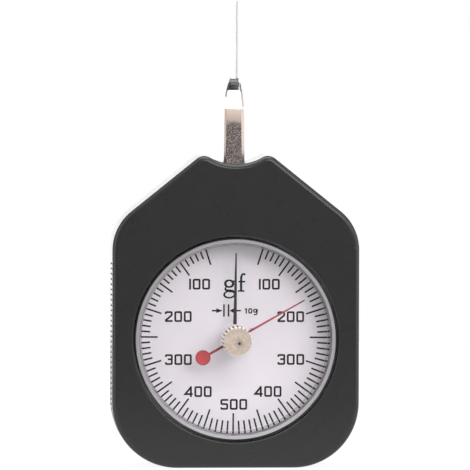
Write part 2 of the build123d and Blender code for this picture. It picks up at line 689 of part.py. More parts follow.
def drive_pin():
    """Pin on the sector that bends the leaf springs."""
    return disc(0, PIVOT_Y - DRIVE_PIN_DROP, DRIVE_PIN_R, SPRING_BACK_Z, SECTOR_FRONT_Z)


# ---- lever and feeler -----------------------------------------------------------------------------

def lever_shank():
    """Outline of the lever from its hub to its pointed head, seen from the front."""
    half = LEVER_WIDTH / 2
    base_half = LEVER_BASE_WIDTH / 2
    reach = HEAD_TIP_Y - HEAD_START_Y
    draw_in = half - HEAD_TIP_HALF_WIDTH
    curve_r = (reach ** 2 + draw_in ** 2) / (2 * draw_in)
    middle = (half - curve_r + sqrt(curve_r ** 2 - (reach / 2) ** 2), HEAD_START_Y + reach / 2)
    tip = (HEAD_TIP_HALF_WIDTH, HEAD_TIP_Y)
    edges = ShapeList()
    for side in (-1, 1):
        flank = [(side * base_half, PIVOT_Y), (side * base_half, NOTCH_Y), (side * half, HEAD_START_Y)]
        edges += Polyline(*flank).edges()
        half_way = (side * middle[0], middle[1])
        edges += ThreePointArc(flank[-1], half_way, (side * tip[0], tip[1])).edges()
    edges += ThreePointArc((-tip[0], tip[1]), (0, HEAD_TIP_Y + 0.3), tip).edges()
    edges += Line((-base_half, PIVOT_Y), (base_half, PIVOT_Y)).edges()
    return make_face(edges)


def lever_profile():
    """The lever seen from its side, x = depth and y = height. Its front falls back at the head."""
    front = LEVER_FRONT_Z
    curve_middle = (front - HEAD_CURVE_DROP / 4, (HEAD_CURVE_Y + HEAD_FACET_Y) / 2)
    facet_start = (front - HEAD_CURVE_DROP, HEAD_FACET_Y)
    facet_end = (front - HEAD_FACET_DROP, FORK_SLOT_BOTTOM)
    low = PIVOT_Y - LEVER_HUB_R - 1
    edges = Polyline((front, HEAD_CURVE_Y), (front, low), (LEVER_BACK_Z, low),
                     (LEVER_BACK_Z, HEAD_ROUND_Y), (LEVER_MID_Z, HEAD_ROUND_Y),
                     (front - HEAD_FACET_DROP, HEAD_ROUND_Y), facet_end, facet_start).edges()
    edges += ThreePointArc(facet_start, curve_middle, (front, HEAD_CURVE_Y)).edges()
    return make_face(edges) + spot(LEVER_MID_Z, HEAD_ROUND_Y, LEVER_THICKNESS / 2)


def lever_bevel(side, width):
    """What is cut off along one front edge of the shank and its head, above the saddle."""
    front = LEVER_FRONT_Z
    outer = LEVER_WIDTH / 2
    slope = (LEVER_BASE_WIDTH - LEVER_WIDTH) / 2 / (HEAD_START_Y - NOTCH_Y)
    steps = []
    for y, half, drop in ((NOTCH_Y - 1.5, outer + slope * (HEAD_START_Y - NOTCH_Y + 1.5), 0.0),
                          (HEAD_CURVE_Y, outer + slope * (HEAD_START_Y - HEAD_CURVE_Y), 0.0),
                          (HEAD_FACET_Y, outer, HEAD_CURVE_DROP),
                          (FORK_SLOT_BOTTOM, outer - LEVER_BEVEL_DRAW_IN, HEAD_FACET_DROP)):
        top = front - drop
        inner_x = side * (half - width)
        far_x = side * (half + 2)
        far_z = top - LEVER_BEVEL_DEPTH * (width + 2) / width
        corners = [(inner_x, y, top), (far_x, y, far_z), (far_x, y, front + 2), (inner_x, y, front + 2)]
        steps.append(make_face(Polyline(*corners, close=True)))
    return loft(steps, ruled=True)


def lever_arm():
    """Lever with a round hub, a flat shank with bevelled edges and a forked, pointed head."""
    body = slab(lever_shank() + spot(0, PIVOT_Y, LEVER_HUB_R), LEVER_BACK_Z, LEVER_FRONT_Z)
    side_view = Rot(0, -90, 0) * extrude(lever_profile(), 5, both=True)
    body = body & side_view
    body -= lever_bevel(-1, LEVER_BEVEL_LEFT)
    body -= lever_bevel(1, LEVER_BEVEL_RIGHT)
    slot_top = HEAD_TIP_Y + 1
    slot_middle = Pos(0, (FORK_SLOT_BOTTOM + slot_top) / 2, LEVER_MID_Z)
    body -= slot_middle * Box(FORK_SLOT, slot_top - FORK_SLOT_BOTTOM, LEVER_THICKNESS + 2)
    body -= cross_bar(0, FORK_PIN_R, 10)
    return body - disc(0, PIVOT_Y, 0.9, LEVER_BACK_Z - 1, LEVER_FRONT_Z + 1)


def cross_bar(x, radius, length):
    """A round bar along x through the fork's pin hole, with its middle at x."""
    return Pos(x, FORK_PIN_Y, LEVER_MID_Z) * Rot(0, 90, 0) * Cylinder(radius, length)


def fork_pin():
    """Rivet across the fork that the feeler swivels on."""
    return cross_bar(0, FORK_PIN_R, 2.5)


def friction_washer():
    """Spring washer beside the feeler's eye that keeps the feeler where it is put."""
    left = -FORK_SLOT / 2
    right = FEELER_X - FEELER_THICKNESS / 2 - FEELER_SIDE_GAP
    middle = (left + right) / 2
    return cross_bar(middle, FEELER_EYE_R, right - left) - cross_bar(middle, FORK_PIN_R + 0.02, 3)


def feeler():
    """Round needle with a flat eye that swivels in the fork."""
    eye = cross_bar(FEELER_X, FEELER_EYE_R, FEELER_THICKNESS)
    radius = FEELER_THICKNESS / 2 - 0.01
    start_y = FORK_PIN_Y + 0.9
    middle = Pos(FEELER_X, (start_y + FEELER_TIP_Y) / 2, LEVER_MID_Z)
    needle = middle * Rot(90, 0, 0) * Cylinder(radius, FEELER_TIP_Y - start_y)
    needle = fillet(needle.edges().sort_by(Axis.Y)[-1], 0.2)
    return eye + needle - cross_bar(FEELER_X, FORK_PIN_R + RUNNING_GAP, 3)


# ---- pointers and reset knob --------------------------------------------------------------------

def main_pointer():
    """Black pointer on its hub."""
    z = DIAL_Z + MAIN_POINTER_ABOVE_DIAL
    root = MAIN_POINTER_ROOT_WIDTH / 2
    tip = MAIN_POINTER_TIP_WIDTH / 2
    neck_y = MAIN_POINTER_LENGTH - 0.3
    blade = make_face(Polyline((-root, -2.6), (root, -2.6), (root, 3.0), (tip, neck_y),
                               (0, MAIN_POINTER_LENGTH), (-tip, neck_y), (-root, 3.0),
                               close=True))
    blade = Pos(0, DIAL_Y) * Rot(0, 0, -MAIN_POINTER_ANGLE) * blade
    body = slab(blade, z - POINTER_SHEET / 2, z + POINTER_SHEET / 2)
    body += disc(0, DIAL_Y, MAIN_POINTER_HUB_R, z - POINTER_SHEET / 2, z + POINTER_SHEET / 2)
    body += disc(0, DIAL_Y, 1.5, z - 1.2, z + POINTER_SHEET / 2)
    body -= disc(0, DIAL_Y, POINTER_SEAT_R, z - 0.9, z + 1)
    return body - disc(0, DIAL_Y, PINION_ARBOR_R, z - 2, z - 0.8)


def peak_pointer():
    """Red peak-hold pointer with a disc on its tail."""
    z = DIAL_Z + PEAK_POINTER_ABOVE_DIAL
    length = PEAK_POINTER_LENGTH
    blade = make_face(Polyline((-0.3, 0), (-0.15, length - 0.3), (0, length), (0.15, length - 0.3),
                               (0.3, 0), (0.3, -PEAK_TAIL_LENGTH), (-0.3, -PEAK_TAIL_LENGTH),
                               close=True))
    outline = blade + spot(0, 0, POINTER_BOSS_R) + spot(0, -PEAK_TAIL_LENGTH, PEAK_DISC_R)
    body = slab(outline, z - POINTER_SHEET / 2, z + POINTER_SHEET / 2)
    body += disc(0, 0, POINTER_BOSS_R, z - 0.9, z)
    body -= disc(0, 0, KNOB_SHAFT_R, z - 2, z + 1)
    return Pos(0, DIAL_Y) * Rot(0, 0, -PEAK_POINTER_ANGLE) * body


def drag_pin():
    """Pin under the peak pointer that the main pointer pushes along."""
    z_high = DIAL_Z + PEAK_POINTER_ABOVE_DIAL - POINTER_SHEET / 2
    z_low = DIAL_Z + MAIN_POINTER_ABOVE_DIAL + POINTER_SHEET / 2 + DRAG_PIN_SHORTFALL
    angle = radians(90 - PEAK_POINTER_ANGLE)
    x = DRAG_PIN_RADIUS * cos(angle)
    y = DIAL_Y + DRAG_PIN_RADIUS * sin(angle)
    return disc(x, y, DRAG_PIN_R, z_low, z_high)


def peak_washer():
    """Thin spring washer between the crystal and the peak pointer."""
    z_low = DIAL_Z + PEAK_POINTER_ABOVE_DIAL + POINTER_SHEET / 2 + 0.02
    z_high = CRYSTAL_BACK_Z - 0.02
    return ring(0, DIAL_Y, POINTER_BOSS_R, KNOB_SHAFT_R + 0.02, z_low, z_high)


def reset_knob():
    """Knurled knob in front of the crystal, in one piece with its shaft."""
    top = DIAL_Z + KNOB_TOP_ABOVE_DIAL
    low = BEZEL_Z + 0.35
    points = []
    for i in range(KNOB_TEETH):
        angle = 2 * pi * i / KNOB_TEETH
        step = pi / KNOB_TEETH
        points.append((KNOB_R * cos(angle), KNOB_R * sin(angle)))
        root = KNOB_R - KNOB_TOOTH_DEPTH
        points.append((root * cos(angle + step), root * sin(angle + step)))
    knurl = make_face(Polyline(*points, close=True))
    body = slab(Pos(0, DIAL_Y) * knurl, low + 0.5, top)
    # turned cone at each end of the knurl
    envelope = disc(0, DIAL_Y, KNOB_R + 0.02, low + 0.5, top)
    envelope = chamfer(envelope.edges().filter_by(GeomType.CIRCLE), KNOB_R + 0.02 - KNOB_FACE_R)
    body = body & envelope
    body += disc(0, DIAL_Y, 2.7, low, low + 0.6)
    dimple = Cone(0.02, KNOB_DIMPLE_R, KNOB_DIMPLE_DEPTH)
    dimple_x, dimple_y = KNOB_DIMPLE_AT
    body -= Pos(dimple_x, DIAL_Y + dimple_y, top - KNOB_DIMPLE_DEPTH / 2 + 0.01) * dimple
    return body + disc(0, DIAL_Y, KNOB_SHAFT_R, DIAL_Z + PEAK_POINTER_ABOVE_DIAL - 0.9, low + 0.1)


# ---- files --------------------------------------------------------------------------------------

PIECES = {
    "front_case": front_case,
    "rear_cover": rear_cover,
    "cover_screws": cover_screws,
    "bezel": bezel,
    "bezel_screws": bezel_screws,
    "crystal": crystal,
    "knob_bush": knob_bush,
    "dial": dial,
    "dial_spacer": dial_spacer,
    "front_plate": front_plate,
    "pillars": pillars,
    "rear_bridge": rear_bridge,
    "bridge_screws": bridge_screws,
    "stop_pins": stop_pins,
    "lever_bush_front": lever_bush_front,
    "lever_bush_rear": lever_bush_rear,
    "pinion_bush_front": pinion_bush_front,
    "pinion_bush_rear": pinion_bush_rear,
    "leaf_springs": leaf_springs,
    "spring_clamp": spring_clamp,
    "clamp_screws": clamp_screws,
    "zero_post": zero_post,
    "hairspring": hairspring,
    "hairspring_stud": hairspring_stud,
    "lever_arm": lever_arm,
    "lever_arbor": lever_arbor,
    "sector_gear": sector_gear,
    "drive_pin": drive_pin,
    "fork_pin": fork_pin,
    "friction_washer": friction_washer,
    "feeler": feeler,
    "pinion_arbor": pinion_arbor,
    "hairspring_collet": hairspring_collet,
    "main_pointer": main_pointer,
    "reset_knob": reset_knob,
    "peak_washer": peak_washer,
    "peak_pointer": peak_pointer,
    "drag_pin": drag_pin,
}


def main():
    os.makedirs("parts", exist_ok=True)
    for name, make in PIECES.items():
        made = make()
        if isinstance(made, list):
            made = Compound(children=[stand_up(each) for each in made])
        else:
            made = stand_up(made)
        export_step(made, f"parts/{name}.step")
        print(name, "ok")


main()
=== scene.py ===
"""Looks of the dial force gauge: finishes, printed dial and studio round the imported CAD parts."""

import logging
import math
from dataclasses import dataclass
from enum import Enum

import bpy
from mathutils import Matrix, Vector


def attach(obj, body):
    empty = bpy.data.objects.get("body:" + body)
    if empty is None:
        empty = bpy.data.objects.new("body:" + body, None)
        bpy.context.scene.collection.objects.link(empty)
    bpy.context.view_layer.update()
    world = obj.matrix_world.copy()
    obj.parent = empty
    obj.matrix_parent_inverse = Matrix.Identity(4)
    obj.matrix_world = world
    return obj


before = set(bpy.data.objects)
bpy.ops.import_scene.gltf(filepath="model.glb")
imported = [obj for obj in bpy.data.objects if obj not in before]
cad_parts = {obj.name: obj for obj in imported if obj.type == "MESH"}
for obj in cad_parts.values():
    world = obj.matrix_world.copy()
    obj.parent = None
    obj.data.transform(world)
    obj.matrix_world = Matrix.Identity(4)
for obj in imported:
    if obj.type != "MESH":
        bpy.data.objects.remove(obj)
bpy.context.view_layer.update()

MM = 0.001
PER_M = 1000.0
PRINT_BODY = "case"
log = logging.getLogger("force_gauge")

Rgb = tuple[float, float, float]
Span = tuple[float, float]
Point = tuple[float, float] | Vector
Line = list[Point]
Tree = bpy.types.NodeTree
Node = bpy.types.Node
Socket = bpy.types.NodeSocket
Value = Socket | float | Rgb
Material = bpy.types.Material
Piece = bpy.types.Object


class Slot(Enum):
    """The material slots of the record."""

    CASE = "case_plastic"
    BEZEL = "bezel_metal"
    CRYSTAL = "crystal"
    DIAL = "dial_white"
    BLACK = "pointer_black"
    RED = "pointer_red"
    KNOB = "knob_metal"
    LEVER = "lever_steel"
    FEELER = "feeler_steel"
    STEEL = "steel"
    SCREW = "screw_steel"
    SPRING = "spring_steel"
    BRASS = "brass"
    BRONZE = "bronze"
    SPACER = "spacer_plastic"


# ---- nodes ----


class Nodes:
    """One node tree and short ways to add to it."""

    def __init__(self, tree: Tree) -> None:
        """Wraps the tree."""
        self.tree = tree

    def feed(self, value: Value, socket: Socket) -> None:
        """Links an output to a socket, or sets the socket.

        Args:
            value: An output, a number or a colour.
            socket: The input it goes to.
        """
        if isinstance(value, Socket):
            self.tree.links.new(value, socket)
        else:
            socket.default_value = (*value, 1.0) if isinstance(value, tuple) else value

    def set(self, node: Node, **values: object) -> None:
        """Sets a node's settings and sets or links its sockets.

        Args:
            node: The node.
            values: Settings by attribute name, or sockets by name with spaces written as _.
        """
        for key, value in values.items():
            if hasattr(node, key):
                setattr(node, key, value)
            else:
                self.feed(value, node.inputs[key.replace("_", " ")])

    def add(self, kind: str, *values: Value, **named: object) -> Node:
        """Adds a node.

        Args:
            kind: Blender's name of the node type, without ShaderNode.
            values: Its first sockets that are in use, in order.
            named: Settings and further sockets, as for set.

        Returns:
            The new node.
        """
        node = self.tree.nodes.new("ShaderNode" + kind)
        self.set(node, **named)
        for value, socket in zip(values, [socket for socket in node.inputs if socket.enabled]):
            self.feed(value, socket)
        return node

    def math(self, operation: str, *values: Value) -> Socket:
        """What a maths operation, by Blender's name of it, makes of some values."""
        return self.add("Math", *values, operation=operation).outputs[0]

    def both(self, a: Value, b: Value) -> Socket:
        """The product of two masks or values."""
        return self.math("MULTIPLY", a, b)

    def blend(self, mask: Socket, a: Value, b: Value) -> Socket:
        """The colour a where the mask is 0 and b where it is 1."""
        node = self.add("Mix", mask, a, b, data_type="RGBA")
        return next(socket for socket in node.outputs if socket.enabled)

    def ramp(self, value: Socket, low: float, high: float, to: Span = (0.0, 1.0)) -> Socket:
        """Maps low..high to a span and holds the span's ends."""
        return self.add("MapRange", value, low, high, *to).outputs["Result"]

    def step(self, value: Socket, at: float, span: Span) -> Socket:
        """Goes from 0 to 1 over a span that is measured from a place."""
        return self.ramp(value, at + span[0], at + span[1])

    def spread(self, noise: Socket, to: Span = (0.0, 1.0)) -> Socket:
        """Maps the range that a noise mostly keeps to, to a span."""
        return self.ramp(noise, 0.3, 0.7, to)

    def here(self) -> Socket:
        """The surface's place on its own piece, in metres."""
        return self.add("TexCoord").outputs["Object"]

    def split(self, vector: Socket) -> tuple[Socket, ...]:
        """The x, y and z of a vector."""
        return tuple(self.add("SeparateXYZ", vector).outputs)


class Group(Nodes):
    """A shader node group under construction."""

    def __init__(self, name: str, inputs: dict[str, float], *outputs: str) -> None:
        """Starts the group.

        Args:
            name: The group's name.
            inputs: Its number inputs with their defaults.
            outputs: Its number outputs.
        """
        super().__init__(bpy.data.node_groups.new(name, "ShaderNodeTree"))
        for key, value in inputs.items():
            socket = self.tree.interface.new_socket(key, in_out="INPUT", socket_type="NodeSocketFloat")
            socket.default_value = value
        for key in outputs:
            self.tree.interface.new_socket(key, in_out="OUTPUT", socket_type="NodeSocketFloat")
        self.start = self.tree.nodes.new("NodeGroupInput").outputs
        self.end = self.tree.nodes.new("NodeGroupOutput").inputs


class Effects:
    """The shader node groups that several finishes share, each built once."""

    def __init__(self) -> None:
        """Builds every group."""
        self.place = self._place()
        self.axis = self._axis()
        self.grain = self._grain()
        self.brushed = self._brushed()
        self.turned = self._turned()

    def _place(self) -> Tree:
        """The surface's place on its own piece.

        Returns:
            A group that gives x, y and z in millimetres.
        """
        group = Group("place_in_mm", {}, "X", "Y", "Z")
        for axis, place in zip("XYZ", group.split(group.here())):
            group.feed(group.both(place, PER_M), group.end[axis])
        return group.tree

    def _axis(self) -> Tree:
        """How far the surface is from an axis that runs from front to back.

        Returns:
            A group that gives a distance in millimetres.
        """
        group = Group("axis_distance", {"Across mm": 0.0, "Height mm": 0.0}, "Distance")
        x, _, z = group.split(group.here())
        squares = []
        for place, key in ((x, "Across mm"), (z, "Height mm")):
            off = group.math("SUBTRACT", group.both(place, PER_M), group.start[key])
            squares.append(group.both(off, off))
        group.feed(group.math("SQRT", group.math("ADD", *squares)), group.end["Distance"])
        return group.tree

    def _grain(self) -> Tree:
        """Fine mottled grain of a moulded, painted or worn surface.

        Returns:
            A group that gives a mask of patches and a height of grains, from 0 to 1.
        """
        group = Group("fine_grain", {"Size mm": 0.25, "Patch mm": 6.0}, "Mask", "Height")
        here = group.here()
        for key, out in (("Size mm", "Height"), ("Patch mm", "Mask")):
            scale = group.math("DIVIDE", PER_M, group.start[key])
            noise = group.add("TexNoise", Vector=here, Scale=scale, Detail=2.0, Roughness=0.6)
            group.feed(noise.outputs["Fac"], group.end[out])
        return group.tree

    def _brushed(self) -> Tree:
        """Long fine scratches along the piece's height.

        Returns:
            A group that gives a mask from 0 to 1.
        """
        group = Group("brushed_lines", {"Line mm": 0.08, "Length mm": 3.0}, "Mask")
        across = group.math("DIVIDE", PER_M, group.start["Line mm"])
        along = group.math("DIVIDE", PER_M, group.start["Length mm"])
        join = group.add("CombineXYZ")
        for axis, place, scale in zip("XYZ", group.split(group.here()), (across, across, along)):
            group.feed(group.both(place, scale), join.inputs[axis])
        noise = group.add("TexNoise", Vector=join.outputs[0], Scale=1.0, Detail=3.0, Roughness=0.6)
        group.feed(noise.outputs["Fac"], group.end["Mask"])
        return group.tree

    def _turned(self) -> Tree:
        """Fine rings that a lathe leaves round the dial's axis.

        Returns:
            A group that gives a mask from 0 to 1.
        """
        group = Group("turned_rings", {"Ring mm": 0.12, "Centre height mm": 32.3}, "Mask")
        axis = group.add("Group", node_tree=self.axis, Height_mm=group.start["Centre height mm"])
        rings = group.math("DIVIDE", axis.outputs["Distance"], group.start["Ring mm"])
        noise = group.add("TexNoise", noise_dimensions="1D", W=rings, Detail=2.0, Scale=1.0)
        group.feed(noise.outputs["Fac"], group.end["Mask"])
        return group.tree


class Paint(Nodes):
    """A material under construction, round one Principled shader."""

    def __init__(self, name: str, effects: Effects | None = None) -> None:
        """Starts the material.

        Args:
            name: Its name.
            effects: The shared node groups, where it uses them.
        """
        self.material = bpy.data.materials.new(name)
        self.material.use_nodes = True
        super().__init__(self.material.node_tree)
        self.effects = effects
        self.shader = self.tree.nodes["Principled BSDF"]

    def coat(self, **values: Value) -> None:
        """Sets or links the shader's sockets, as set does."""
        self.set(self.shader, **values)

    def effect(self, group: Tree, **values: float) -> bpy.types.bpy_prop_collection:
        """Places a shared group with this material's own values and gives its outputs."""
        return self.add("Group", node_tree=group, **values).outputs

    def place_mm(self) -> tuple[Socket, ...]:
        """The surface's x, y and z on its own piece, in millimetres."""
        return tuple(self.effect(self.effects.place))

    def distance_mm(self, across: float, height: float) -> Socket:
        """How far the surface is, seen from the front, from an axis at a place."""
        return self.effect(self.effects.axis, Across_mm=across, Height_mm=height)["Distance"]

    def grain(self, size_mm: float, patch_mm: float = 6.0) -> tuple[Socket, Socket]:
        """Places the grain and gives its patches and its height."""
        outputs = self.effect(self.effects.grain, Size_mm=size_mm, Patch_mm=patch_mm)
        return outputs["Mask"], outputs["Height"]

    def brushed(self, line_mm: float) -> Socket:
        """Places the brushed lines."""
        return self.effect(self.effects.brushed, Line_mm=line_mm)["Mask"]

    def turned(self, ring_mm: float) -> Socket:
        """Places the turned rings."""
        return self.effect(self.effects.turned, Ring_mm=ring_mm)["Mask"]

    def bump(self, height: Socket, depth_mm: float, strength: float) -> Socket:
        """The normal of a surface with a height of 0 to 1 that stands for a depth."""
        bump = self.add("Bump", Height=height, Strength=strength, Distance=depth_mm * MM)
        return bump.outputs["Normal"]

    def show(self, mask: Value, a: Socket, b: Socket) -> Socket:
        """The shader a where the mask is 0 and b where it is 1."""
        return self.add("MixShader", mask, a, b).outputs[0]

    def finish(self, surface: Socket) -> None:
        """Makes a shader the material's surface."""
        self.feed(surface, self.tree.nodes["Material Output"].inputs["Surface"])


# ---- finishes ----


def shade(colour: Rgb, amount: float) -> Rgb:
    """The colour times an amount, at most 1."""
    return tuple(min(1.0, c * amount) for c in colour)


class Finish:
    """A look that makes a material of itself. Sizes in millimetres."""

    name: str
    roughness: Span
    metallic: float = 0.0
    relief: Span | None = None

    def material(self, effects: Effects) -> Material:
        """The finish as a material that uses the shared node groups."""
        self.lay(paint := Paint(self.name, effects))
        return paint.material

    def lay(self, paint: Paint) -> None:
        """Lays the finish on a new material."""
        raise NotImplementedError

    def cover(self, paint: Paint, colour: Value, marks: Socket) -> None:
        """Coats a surface whose roughness and relief follow its marks.

        Args:
            paint: The new material.
            colour: The base colour.
            marks: The marks, as a noise.
        """
        roughness = paint.spread(marks, self.roughness)
        paint.coat(Base_Color=colour, Metallic=self.metallic, Roughness=roughness)
        if self.relief:
            paint.coat(Normal=paint.bump(marks, *self.relief))


@dataclass(frozen=True)
class SkinFinish(Finish):
    """A plain non-metal surface: moulded plastic or paint, with a fine grain."""

    name: str
    colour: Rgb
    roughness: Span
    grain_strength: float = 0.0
    patch_mm: float = 6.0
    patch_gain: float = 1.12
    specular: float = 0.5
    grain_mm: float = 0.25
    grain_depth_mm: float = 0.004

    def lay(self, paint: Paint) -> None:
        """Lays the colour in patches.

        Args:
            paint: The new material.
        """
        patches, grains = paint.grain(self.grain_mm, self.patch_mm)
        lighter = shade(self.colour, self.patch_gain)
        self.cover(paint, paint.blend(paint.spread(patches), self.colour, lighter), patches)
        paint.coat(Specular_IOR_Level=self.specular)
        if self.grain_strength > 0:
            paint.coat(Normal=paint.bump(grains, self.grain_depth_mm, self.grain_strength))


class Texture(Enum):
    """How a metal surface was worked."""

    BRUSHED = "brushed"
    SATIN = "satin"


@dataclass(frozen=True)
class MetalFinish(Finish):
    """A metal surface with the marks of how it was worked."""

    name: str
    colour: Rgb
    roughness: Span
    texture: Texture = Texture.SATIN
    mark_mm: float = 0.1
    metallic: float = 1.0
    relief: Span = (0.002, 0.3)
    tone: float = 0.9

    def lay(self, paint: Paint) -> None:
        """Lays the marks.

        Args:
            paint: The new material.
        """
        brushed = self.texture is Texture.BRUSHED
        marks = paint.brushed(self.mark_mm) if brushed else paint.grain(self.mark_mm)[1]
        worn = shade(self.colour, self.tone)
        self.cover(paint, paint.blend(paint.spread(marks), worn, self.colour), marks)


@dataclass(frozen=True)
class BezelFinish(Finish):
    """The bezel's turned metal: a satin front with a polished bore, coloured darker as painted shade.
    """

    window: "Window"
    name: str = "bezel_satin"
    colour: Rgb = (0.63, 0.61, 0.64)
    worn: Rgb = (0.567, 0.549, 0.576)
    # Painted shade: the bore's darker colour stands for the shade on its wall.
    bore: Rgb = (0.36, 0.35, 0.365)
    ring_mm: float = 0.15
    relief: Span = (0.002, 0.3)
    roughness: Span = (0.22, 0.30)
    polished: float = 0.06
    edge: Span = (0.02, 0.06)

    def lay(self, paint: Paint) -> None:
        """Lays the turned front and then the bore, coloured darker as painted shade.

        Args:
            paint: The new material.
        """
        rings = paint.turned(self.ring_mm)
        colour = paint.blend(paint.spread(rings), self.worn, self.colour)
        # The bore takes the darker colour: painted shade on its wall.
        out = paint.distance_mm(0.0, self.window.axis_z_mm)
        front = paint.step(out, self.window.bore_r_mm, self.edge)
        satin = paint.both(paint.spread(rings, self.roughness), front)
        paint.coat(
            Metallic=1.0,
            Base_Color=paint.blend(front, self.bore, colour),
            Roughness=paint.math("ADD", satin, self.polished),
            Normal=paint.bump(rings, *self.relief),
        )


@dataclass(frozen=True)
class LeverFinish(Finish):
    """The lever's steel: a dull speckled shank, bright bevels, a polished facet whose front half is
    coloured near white as a painted highlight, and painted shade along the head's edges and in the
    fork.
    """

    lever: "Lever"
    name: str = "lever_steel_worn"
    dull: Rgb = (0.11, 0.09, 0.085)
    speck: Rgb = (0.66, 0.60, 0.57)
    tan: Rgb = (0.56, 0.46, 0.39)
    bright: Rgb = (0.50, 0.42, 0.385)
    # Painted highlight: near white, on the front half of the polished facet.
    facet: Rgb = (1.0, 0.98, 0.97)
    # Painted shade: the colour of the shade along the head's edges and in the fork's slot.
    fork: Rgb = (0.13, 0.12, 0.12)
    speck_mm: float = 0.26
    speck_span: Span = (0.46, 0.70)
    patch_mm: float = 0.9
    ragged_mm: float = 2.0
    tan_span: Span = (0.1, 1.5)
    bevel_span: Span = (-0.03, 0.03)
    facet_span: Span = (-0.08, 0.04)
    front_span: Span = (0.1, -0.1)
    # How strongly the painted shade along the head's edges darkens.
    outline: float = 0.7
    outline_span: Span = (0.0, 0.15)
    outline_rise: Span = (-0.1, 0.5)
    fork_span: Span = (-0.1, 0.1)
    cheek_span: Span = (0.05, -0.05)
    metallic: float = 1.0
    relief: Span = (0.004, 0.3)
    roughness: Span = (0.30, 0.42)

    def lay(self, paint: Paint) -> None:
        """Lays the looks one over another, from the shank up to the fork.

        Args:
            paint: The new material.
        """

        def reach(side: float, base: float, taper: float) -> Socket:
            """How far out to a side the surface is, as if the lever didn't taper."""
            drawn_in = paint.both(paint.math("SUBTRACT", z, base), taper)
            return paint.math("ADD", paint.both(x, side), drawn_in)

        lever = self.lever
        x, y, z = paint.place_mm()
        patches, grains = paint.grain(self.speck_mm, self.patch_mm)
        colour = paint.blend(paint.ramp(grains, *self.speck_span), self.dull, self.speck)
        ragged = paint.math("ADD", z, paint.both(patches, self.ragged_mm))
        colour = paint.blend(paint.step(ragged, lever.dull_top_mm, self.tan_span), colour, self.tan)
        for side, edge in ((1.0, lever.bevel_right_mm), (-1.0, lever.bevel_left_mm)):
            bevel = paint.step(reach(side, lever.base_mm, lever.taper), edge, self.bevel_span)
            colour = paint.blend(bevel, colour, self.bright)
        # Painted highlight: the polished facet's front half is coloured near white.
        facet = paint.step(z, lever.facet_mm, self.facet_span)
        front = paint.step(y, lever.front_half_mm, self.front_span)
        colour = paint.blend(paint.both(facet, front), colour, self.facet)
        # Painted shade along the head's tapered edges.
        for side, edge, low in (
            (1.0, lever.outline_right_mm, lever.facet_mm),
            (-1.0, lever.outline_left_mm, lever.outline_left_low_mm),
        ):
            outline = paint.step(reach(side, low, lever.head_taper), edge, self.outline_span)
            outline = paint.both(outline, paint.step(z, low, self.outline_rise))
            colour = paint.blend(paint.both(outline, self.outline), colour, self.fork)
        # Painted shadow in the fork's slot, left of the feeler.
        fork = paint.step(z, lever.fork_mm, self.fork_span)
        left = paint.step(x, lever.cheek_mm, self.cheek_span)
        self.cover(paint, paint.blend(paint.both(fork, left), colour, self.fork), grains)


@dataclass(frozen=True)
class FeelerFinish(Finish):
    """The feeler's steel: a bright ground needle with painted shade on its flanks and on its pivot end.
    """

    lever: "Lever"
    name: str = "feeler_ground"
    bright: Rgb = (0.97, 0.96, 0.95)
    flank_shade: Rgb = (0.55, 0.51, 0.48)
    eye_shadow: Rgb = (0.11, 0.105, 0.105)
    tone: float = 0.9
    metallic: float = 0.2
    line_mm: float = 0.08
    flank_share: Span = (0.35, 0.95)
    eye_span: Span = (-0.1, 0.1)
    relief: Span = (0.001, 0.1)
    roughness: Span = (0.32, 0.40)

    def lay(self, paint: Paint) -> None:
        """Lays the needle's middle, then painted shade on its flanks and on its pivot end.

        Args:
            paint: The new material.
        """
        lever = self.lever
        x, _, z = paint.place_mm()
        lines = paint.brushed(self.line_mm)
        colour = paint.blend(paint.spread(lines), shade(self.bright, self.tone), self.bright)
        # Painted shade: the needle's flanks are darker than its middle.
        off = paint.math("ABSOLUTE", paint.math("SUBTRACT", x, lever.feeler_middle_mm))
        flank_shade = paint.ramp(off, *(lever.feeler_half_mm * share for share in self.flank_share))
        colour = paint.blend(flank_shade, colour, self.flank_shade)
        # Painted shadow: the pivot end, below the needle, sits in the fork's shade.
        needle = paint.step(z, lever.eye_top_mm, self.eye_span)
        self.cover(paint, paint.blend(needle, self.eye_shadow, colour), lines)


